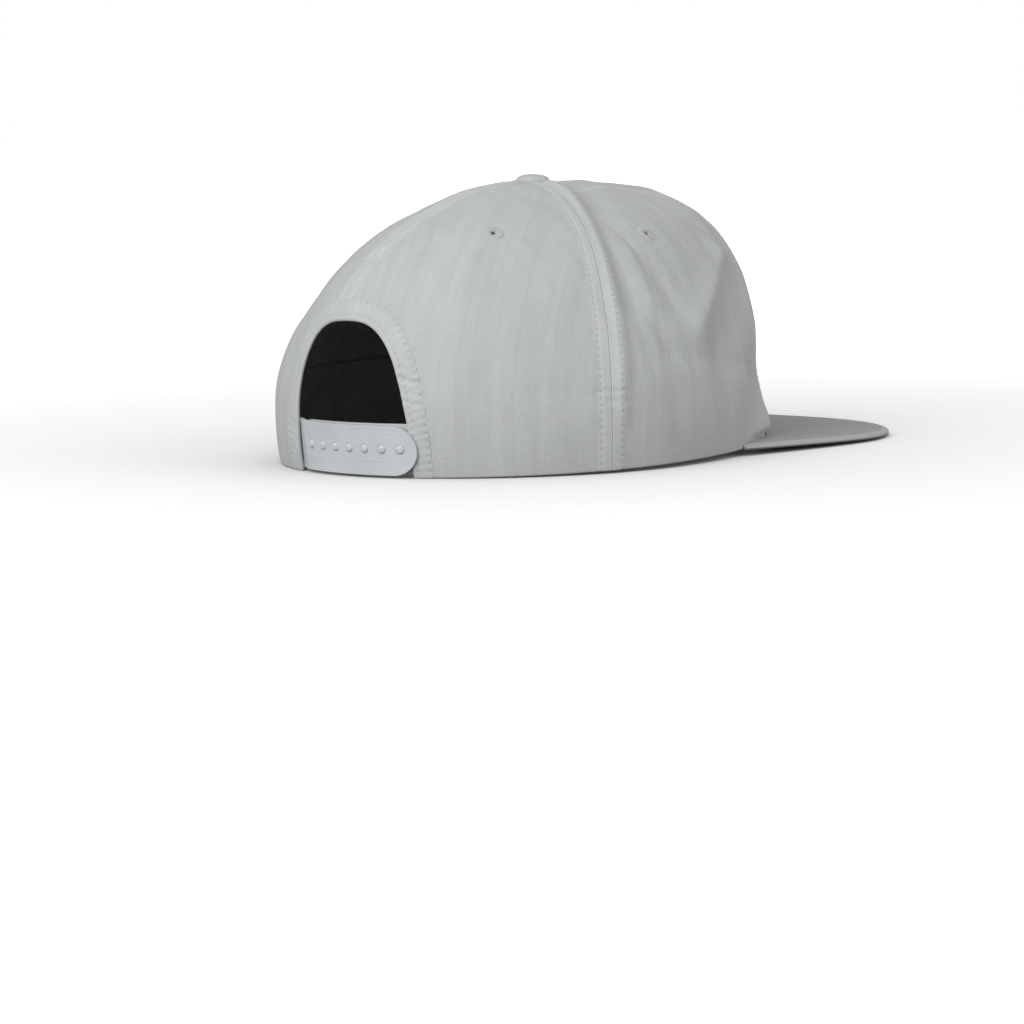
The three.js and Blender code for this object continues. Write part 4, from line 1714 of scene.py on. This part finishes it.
@dataclass(frozen=True)
class Button:
    """The cloth-covered button on the apex, with its shank and washer."""

    node: str = "button"
    radius: float = 6.5
    height: float = 2.9
    gathers: int = 14
    shank: float = 2.2
    washer: float = 4.5
    washer_drop: float = 2.0
    washer_thick: float = 1.0
    overlap: float = 0.2

    def dome(self) -> Piece:
        """Model the covered top, gathered towards its edge.

        Returns:
            The dome, on the origin.
        """
        bpy.ops.mesh.primitive_uv_sphere_add(segments=96, ring_count=48, radius=MM)
        dome = bpy.context.object
        bpy.ops.object.mode_set(mode="EDIT")
        bpy.ops.mesh.select_all(action="SELECT")
        bpy.ops.mesh.bisect(plane_co=(0, 0, -0.35 * MM), plane_no=(0, 0, 1), use_fill=True, clear_inner=True)
        bpy.ops.object.mode_set(mode="OBJECT")
        points = read_points(dome)
        radius = np.hypot(points[:, 0], points[:, 1])
        around = np.arctan2(points[:, 1], points[:, 0])
        above = points[:, 2] > 0
        spread = np.where(above, radius, radius * 0.96)
        gathered = np.cos(self.gathers * around + 0.6 * np.sin(3 * around)) * smooth((radius - 0.45) / 0.5)
        out = self.radius * spread * (1 + 0.007 * gathered)
        swell = self.height * np.maximum(0, points[:, 2]) ** 0.72 * (1 + 0.1 * np.sin(around) * spread)
        up = np.where(above, swell + 0.01 * gathered, 0.3 * np.minimum(0, points[:, 2])) - 0.1
        shaped = np.stack([out * np.cos(around), out * np.sin(around), up], axis=1)
        dome.data.vertices.foreach_set("co", (shaped * MM).ravel())
        return dome

    def build(self, wardrobe: Wardrobe) -> None:
        """Model and dress the button.

        Args:
            wardrobe: The finishes.
        """
        dome = self.dome()
        shank_foot = -self.washer_drop - self.overlap
        washer_foot = -self.washer_drop - self.washer_thick
        pegs = [
            add_peg((0, 0, shank_foot), self.shank, self.overlap - shank_foot, 48, upright=True),
            add_peg((0, 0, washer_foot), self.washer, self.washer_thick, 48, upright=True),
        ]
        for peg in pegs:
            apply_modifier(peg, "BEVEL", width=0.25 * MM, segments=2)
        button = join([dome, *pegs])
        button.name = "covered_button"
        local = read_points(button)
        while button.data.uv_layers:
            button.data.uv_layers.remove(button.data.uv_layers[0])
        add_map(button.data, "weave", local[:, :2] / MAP_UNIT)
        write_points(button, local + np.array([0, CROWN.apex_shift, CROWN.height]))
        activate(button)
        bpy.ops.object.shade_smooth_by_angle(angle=math.radians(50))
        wardrobe.dress(button, BUTTON_CLOTH, self.node)


@dataclass(frozen=True)
class Eyelets:
    """Ventilation holes bound with thread."""

    radius: float = 3.8
    hole: float = 0.9
    height: float = 0.38
    depth: float = 1.5
    sunk: float = 0.35
    threads: int = 40
    thread_relief: float = 0.16

    def build(self, wardrobe: Wardrobe) -> None:
        """Model one ring for each place and dress it.

        Args:
            wardrobe: The finishes.
        """
        band = (self.radius - self.hole) / 2
        for place in EYELET_PLACES:
            bpy.ops.mesh.primitive_torus_add(
                major_segments=160,
                minor_segments=14,
                major_radius=(self.hole + band) * MM,
                minor_radius=band * MM,
            )
            ring = bpy.context.object
            points = read_points(ring)
            radius = np.hypot(points[:, 0], points[:, 1])
            around = np.arctan2(points[:, 1], points[:, 0])
            wound = self.thread_relief * 0.5 * np.cos(self.threads * around + 0.5 * np.sin(5 * around))
            outside = points[:, 2] > 0
            edge = smooth((self.radius - radius) / 1.2)
            up = points[:, 2] / band * np.where(outside, self.height, self.depth)
            up = up + np.where(outside, wound * (0.4 + edge), 0)
            reach = radius + wound * smooth(radius - self.radius + 1)
            local = np.stack([reach * np.cos(around), reach * np.sin(around), up - self.sunk], axis=1)
            point, normal = place.seat()
            turn = Vector((0, 0, 1)).rotation_difference(Vector(normal)).to_matrix()
            write_points(ring, local @ np.array(turn).T + point)
            ring.name = place.node.replace("eyelet", "bound_eyelet")
            activate(ring)
            bpy.ops.object.shade_smooth()
            wardrobe.dress(ring, SEWING_THREAD, place.node)


@dataclass(frozen=True)
class SnapStrap:
    """Two moulded straps, one over the other, held by seven snaps."""

    bottom: float = 1.2
    top: float = 19.6
    thick: float = 1.2
    middle: float = 10.9
    outer_from: float = -31.5
    outer_to: float = 39.0
    inner_from: float = -39.0
    inner_to: float = 21.0
    tuck: float = -2.1
    studs: int = 7
    first_stud: float = -25.6
    pitch: float = 7.05
    stud_radius: float = 1.7
    hole_radius: float = 1.78
    proud: float = 0.5
    over_depth: float = 1.6
    lean_in: float = 2.0
    lean_from: float = -27.0
    lean_run: float = 48.0
    tuck_run: float = 4.5
    outer_round: float = 9.15
    inner_round: float = 2.3
    rib_place: float = 4.3
    rib_from: float = -24.5
    rib_to: float = 37.0
    rib_half: float = 0.18
    rib_foot: float = 0.2
    rib_top: float = 0.53
    slice_step: float = 1.5

    def places(self) -> Array:
        """Where the studs stand, as x."""
        return self.first_stud + self.pitch * np.arange(self.studs)

    def outer_depth(self, x: Array) -> Array:
        """How far out the outer strap's middle lies, past the inner strap's end as deep as that one.

        Args:
            x: Places across the back.

        Returns:
            The depth at each.
        """
        leant = np.clip((x - self.lean_from) / self.lean_run, 0, 1)
        tucked = smooth((x - self.inner_to) / self.tuck_run)
        return (self.over_depth - self.lean_in * leant) * (1 - tucked) + self.tuck * tucked

    def bend(self, piece: Piece, depth: Callable[[Array], Array]) -> None:
        """Wrap a flat strap round the back of the crown.

        Args:
            piece: The strap, flat: x across, y out and z up.
            depth: How far out the strap's middle lies at x.
        """
        flat = read_points(piece)
        x, z = flat[:, 0], flat[:, 2]
        share = (z - self.bottom) / (self.top - self.bottom)
        ends = []
        for height in (self.bottom, self.top):
            angle, level = CROWN.on_back(x, np.full(x.shape, height))
            ends.append(CROWN.smooth(angle, level))
        angle, level = CROWN.on_back(x, np.full(x.shape, self.middle))
        normal = CROWN.normal(angle, level)
        bent = ends[0] * (1 - share[:, None]) + ends[1] * share[:, None]
        write_points(piece, bent + normal * (depth(x) + flat[:, 1])[:, None])

    def slice_along(self, piece: Piece, first: float, last: float) -> None:
        """Cut a flat strap across at even steps, so that it bends smoothly.

        Args:
            piece: The strap.
            first: Its lowest x.
            last: Its highest x.
        """
        activate(piece)
        bpy.ops.object.mode_set(mode="EDIT")
        for x in np.arange(first + self.slice_step, last, self.slice_step):
            bpy.ops.mesh.select_all(action="SELECT")
            bpy.ops.mesh.bisect(plane_co=(x * MM, 0, 0), plane_no=(1, 0, 0))
        bpy.ops.object.mode_set(mode="OBJECT")

    def blank(self, first: float, last: float, end_radius: float, at_low: bool) -> Piece:
        """A flat strap with rounded corners at one end and a raised line inside its edge.

        Args:
            first: Its lowest x.
            last: Its highest x.
            end_radius: Radius of the two corners.
            at_low: Whether the rounded end is the one at the lowest x.

        Returns:
            The strap, still flat.
        """
        half = self.thick / 2
        strap = add_block((first, -half, self.bottom), (last, half, self.top))
        end = (first if at_low else last) * MM
        bpy.ops.object.mode_set(mode="EDIT")
        pick(
            strap,
            "EDGE",
            lambda edge: all(abs(corner.co.x - end) < 1e-6 for corner in edge.verts)
            and abs(edge.verts[0].co.z - edge.verts[1].co.z) < 1e-6,
        )
        bpy.ops.mesh.bevel(offset=end_radius * MM, segments=max(4, round(1.6 * end_radius)), affect="EDGES")
        pick(strap, "FACE", lambda face: face.normal.y > 0.9)
        bpy.ops.mesh.inset(thickness=1.5 * MM, depth=0)
        bpy.ops.mesh.inset(thickness=0.45 * MM, depth=-0.16 * MM)
        bpy.ops.object.mode_set(mode="OBJECT")
        return strap

    def wrap(
        self, name: str, parts: list[Piece], ends: tuple[float, float], depth: Callable[[Array], Array]
    ) -> Piece:
        """Join a strap's flat parts, wrap them round the crown and shade them smooth.

        Args:
            name: Name of the whole.
            parts: The strap and what is on it.
            ends: Its lowest and its highest x.
            depth: How far out its middle lies at x.

        Returns:
            The whole strap.
        """
        whole = join(parts)
        self.slice_along(whole, *ends)
        whole.name = name
        self.bend(whole, depth)
        activate(whole)
        bpy.ops.object.shade_smooth_by_angle(angle=math.radians(35))
        apply_modifier(whole, "WEIGHTED_NORMAL", keep_sharp=True)
        return whole

    def build(self, wardrobe: Wardrobe) -> None:
        """Model and dress both straps."""
        self.build_outer(wardrobe)
        self.build_inner(wardrobe)

    def build_outer(self, wardrobe: Wardrobe) -> None:
        """Model the strap with the holes, over the other.

        Args:
            wardrobe: The finishes.
        """
        ends = (self.outer_from, self.outer_to)
        outer = self.blank(*ends, self.outer_round, True)
        cutter = join([add_peg((x, -3, self.middle), self.hole_radius, 6, 36) for x in self.places()])
        apply_modifier(outer, "BOOLEAN", operation="DIFFERENCE", object=cutter, solver="EXACT")
        bpy.data.objects.remove(cutter)
        apply_modifier(outer, "BEVEL", width=0.22 * MM, segments=3, limit_method="ANGLE", angle_limit=0.6)
        parts = [outer]
        for z in (self.middle - self.rib_place, self.middle + self.rib_place):
            low = (self.rib_from, self.rib_foot, z - self.rib_half)
            rib = add_block(low, (self.rib_to, self.rib_top, z + self.rib_half))
            apply_modifier(rib, "BEVEL", width=0.1 * MM, segments=2)
            parts.append(rib)
        whole = self.wrap("holed_strap", parts, ends, self.outer_depth)
        wardrobe.dress(whole, STRAP_PLASTIC, "strap_outer")

    def build_inner(self, wardrobe: Wardrobe) -> None:
        """Model the strap with the snaps, which pass through the other's holes.

        Args:
            wardrobe: The finishes.
        """
        ends = (self.inner_from, self.inner_to)
        inner = self.blank(*ends, self.inner_round, False)
        apply_modifier(inner, "BEVEL", width=0.16 * MM, segments=2, limit_method="ANGLE", angle_limit=0.6)
        parts = [inner]
        for x in self.places():
            reach = float(self.outer_depth(np.array(x))) - self.tuck + self.thick / 2 + self.proud
            snap = add_peg((x, 0, self.middle), self.stud_radius, reach, 32)
            bpy.ops.object.mode_set(mode="EDIT")
            pick(snap, "EDGE", lambda edge: all(corner.co.y > (reach - 0.01) * MM for corner in edge.verts))
            bpy.ops.mesh.bevel(offset=1.05 * MM, segments=6, affect="EDGES")
            pick(snap, "FACE", lambda face: face.calc_center_median().y > (reach - 0.02) * MM)
            bpy.ops.mesh.inset(thickness=0.25 * MM, depth=0.05 * MM)
            bpy.ops.object.mode_set(mode="OBJECT")
            parts.append(snap)
        whole = self.wrap("snap_strap", parts, ends, lambda x: np.full(x.shape, self.tuck))
        wardrobe.dress(whole, STRAP_PLASTIC, "strap_inner")


# The room


@dataclass(frozen=True)
class Studio:
    """Pale floor, soft light and the camera, whose sizes in the picture are pixels."""

    azimuth: float = 221.05
    elevation: float = 4.226
    roll: float = -1.485
    distance: float = 1550.0
    focal: float = 4051.8
    picture: float = 1024.0
    sensor: float = 36.0
    target: tuple[float, float, float] = (0.0, 0.0, 48.5)
    seen_at: tuple[float, float] = (505.27, 325.54)
    floor_radius: float = 9.0
    shadow_reach: float = 0.13

    def build(self) -> None:
        """Make the floor, the light and the camera."""
        self.build_floor()
        self.build_world()
        self.build_lights()
        self.build_camera()

    def build_floor(self) -> None:
        """A pale round floor that fades to white far off; it glows for the camera, and occlusion dims that
        glow round the cap into a painted contact shadow.
        """
        bpy.ops.mesh.primitive_circle_add(vertices=96, radius=self.floor_radius, fill_type="NGON")
        floor = bpy.context.object
        floor.name = "floor"
        material, graph, shader = new_material("pale floor")
        place = graph.place()
        reach = graph.value("ShaderNodeVectorMath", {0: place}, "Value", operation="LENGTH")
        far = graph.span(reach, 0.15, 1.1)
        speckle = graph.span(graph.noise(place, 900, 2), 0.3, 0.7, 0.985, 1.0)
        paint = graph.blend(far, (0.78, 0.78, 0.78, 1), (0.9, 0.9, 0.9, 1))
        paint = graph.blend(1.0, paint, speckle, "MULTIPLY")
        glow = graph.blend(far, (0.36, 0.36, 0.36, 1), (1, 1, 1, 1))
        shadow = {"Distance": self.shadow_reach}
        # Occlusion near the cap dims the floor's glow: a painted contact shadow.
        sheltered = graph.value("ShaderNodeAmbientOcclusion", shadow, "AO", samples=8)
        glow_in_painted_shadow = graph.math("POWER", sheltered, 1.6)
        graph.fill(shader, {"Base Color": paint, "Emission Color": glow, "Emission Strength": glow_in_painted_shadow})
        graph.fill(shader, {"Roughness": 0.9, "Specular IOR Level": 0.1})
        dull = graph.value("ShaderNodeBsdfDiffuse", {"Color": (0.3, 0.3, 0.3, 1)})
        seen = graph.value("ShaderNodeLightPath", {}, "Is Camera Ray")
        choice = graph.value("ShaderNodeMixShader", {0: seen, 1: dull, 2: shader.outputs[0]})
        graph.fill(material.node_tree.nodes["Material Output"], {0: choice})
        floor.data.materials.append(material)

    def build_world(self) -> None:
        """White where the camera sees it, and a dimmer white as a light."""
        world = bpy.data.worlds.new("studio")
        bpy.context.scene.world = world
        world.use_nodes = True
        graph = Graph(world.node_tree)
        world.node_tree.nodes.clear()
        lit = graph.value("ShaderNodeBackground", {"Color": (0.97, 0.98, 1.0, 1), "Strength": 0.52})
        white = graph.value("ShaderNodeBackground", {"Color": (1, 1, 1, 1)})
        seen = graph.value("ShaderNodeLightPath", {}, "Is Camera Ray")
        choice = graph.value("ShaderNodeMixShader", {0: seen, 1: lit, 2: white})
        graph.fill(graph.node("ShaderNodeOutputWorld"), {0: choice})

    def build_lights(self) -> None:
        """A large soft key behind the cap and a weak one at the wearer's right."""
        lamps = (
            ("key", (-0.25, 2.25, 0.95), 1.7, 32.0),
            ("side", (-2.1, -0.35, 1.0), 1.5, 8.5),
        )
        for name, place, size, power in lamps:
            lamp = bpy.data.lights.new(name, "AREA")
            lamp.shape = "DISK"
            lamp.size = size
            lamp.energy = power
            holder = bpy.data.objects.new(name, lamp)
            holder.location = place
            aim = Vector((0, 0.04, 0.05)) - Vector(place)
            holder.rotation_euler = aim.to_track_quat("-Z", "Y").to_euler()
            bpy.context.scene.collection.objects.link(holder)

    def build_camera(self) -> None:
        """The photograph's view: where it stands, how it is turned and its lens."""
        az, el, roll = (math.radians(value) for value in (self.azimuth, self.elevation, self.roll))
        back = Vector((math.sin(az) * math.cos(el), -math.cos(az) * math.cos(el), math.sin(el)))
        right = Vector((math.cos(az), math.sin(az), 0))
        up = back.cross(right)
        turned_right = math.cos(roll) * right + math.sin(roll) * up
        turned_up = math.cos(roll) * up - math.sin(roll) * right
        aimed = Matrix((turned_right, turned_up, back)).transposed()
        across, down = (value - self.picture / 2 for value in self.seen_at)
        seen = Vector((across / self.focal, -down / self.focal, -1))
        shifted = Vector((0, 0, -1)).rotation_difference(seen.normalized()).to_matrix()
        axes = np.array((aimed @ shifted.transposed()).transposed())
        place = RESTING.place(np.array(self.target) + self.distance * np.array(back))
        turn = Matrix(RESTING.turn(axes).tolist()).transposed().to_4x4()
        camera = bpy.data.cameras.new("camera")
        camera.sensor_width = self.sensor
        camera.lens = self.focal * self.sensor / self.picture
        camera.clip_start = 0.05
        camera.clip_end = 40
        holder = bpy.data.objects.new("camera", camera)
        holder.matrix_world = Matrix.Translation(Vector(place)) @ turn
        bpy.context.scene.collection.objects.link(holder)
        bpy.context.scene.camera = holder
        bpy.context.scene.view_settings.view_transform = "Standard"


def main() -> None:
    """Build the cap in its room."""
    logging.basicConfig(level=logging.INFO, format="%(name)s: %(message)s")
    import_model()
    bpy.ops.object.select_all(action="DESELECT")
    wardrobe = Wardrobe()
    PanelledCrown().build(wardrobe)
    ArchBinding().build(wardrobe)
    Brim().build(wardrobe)
    Sweatband().build(wardrobe)
    Button().build(wardrobe)
    Eyelets().build(wardrobe)
    SnapStrap().build(wardrobe)
    Studio().build()
    bpy.context.view_layer.update()


if __name__ == "__main__":
    main()
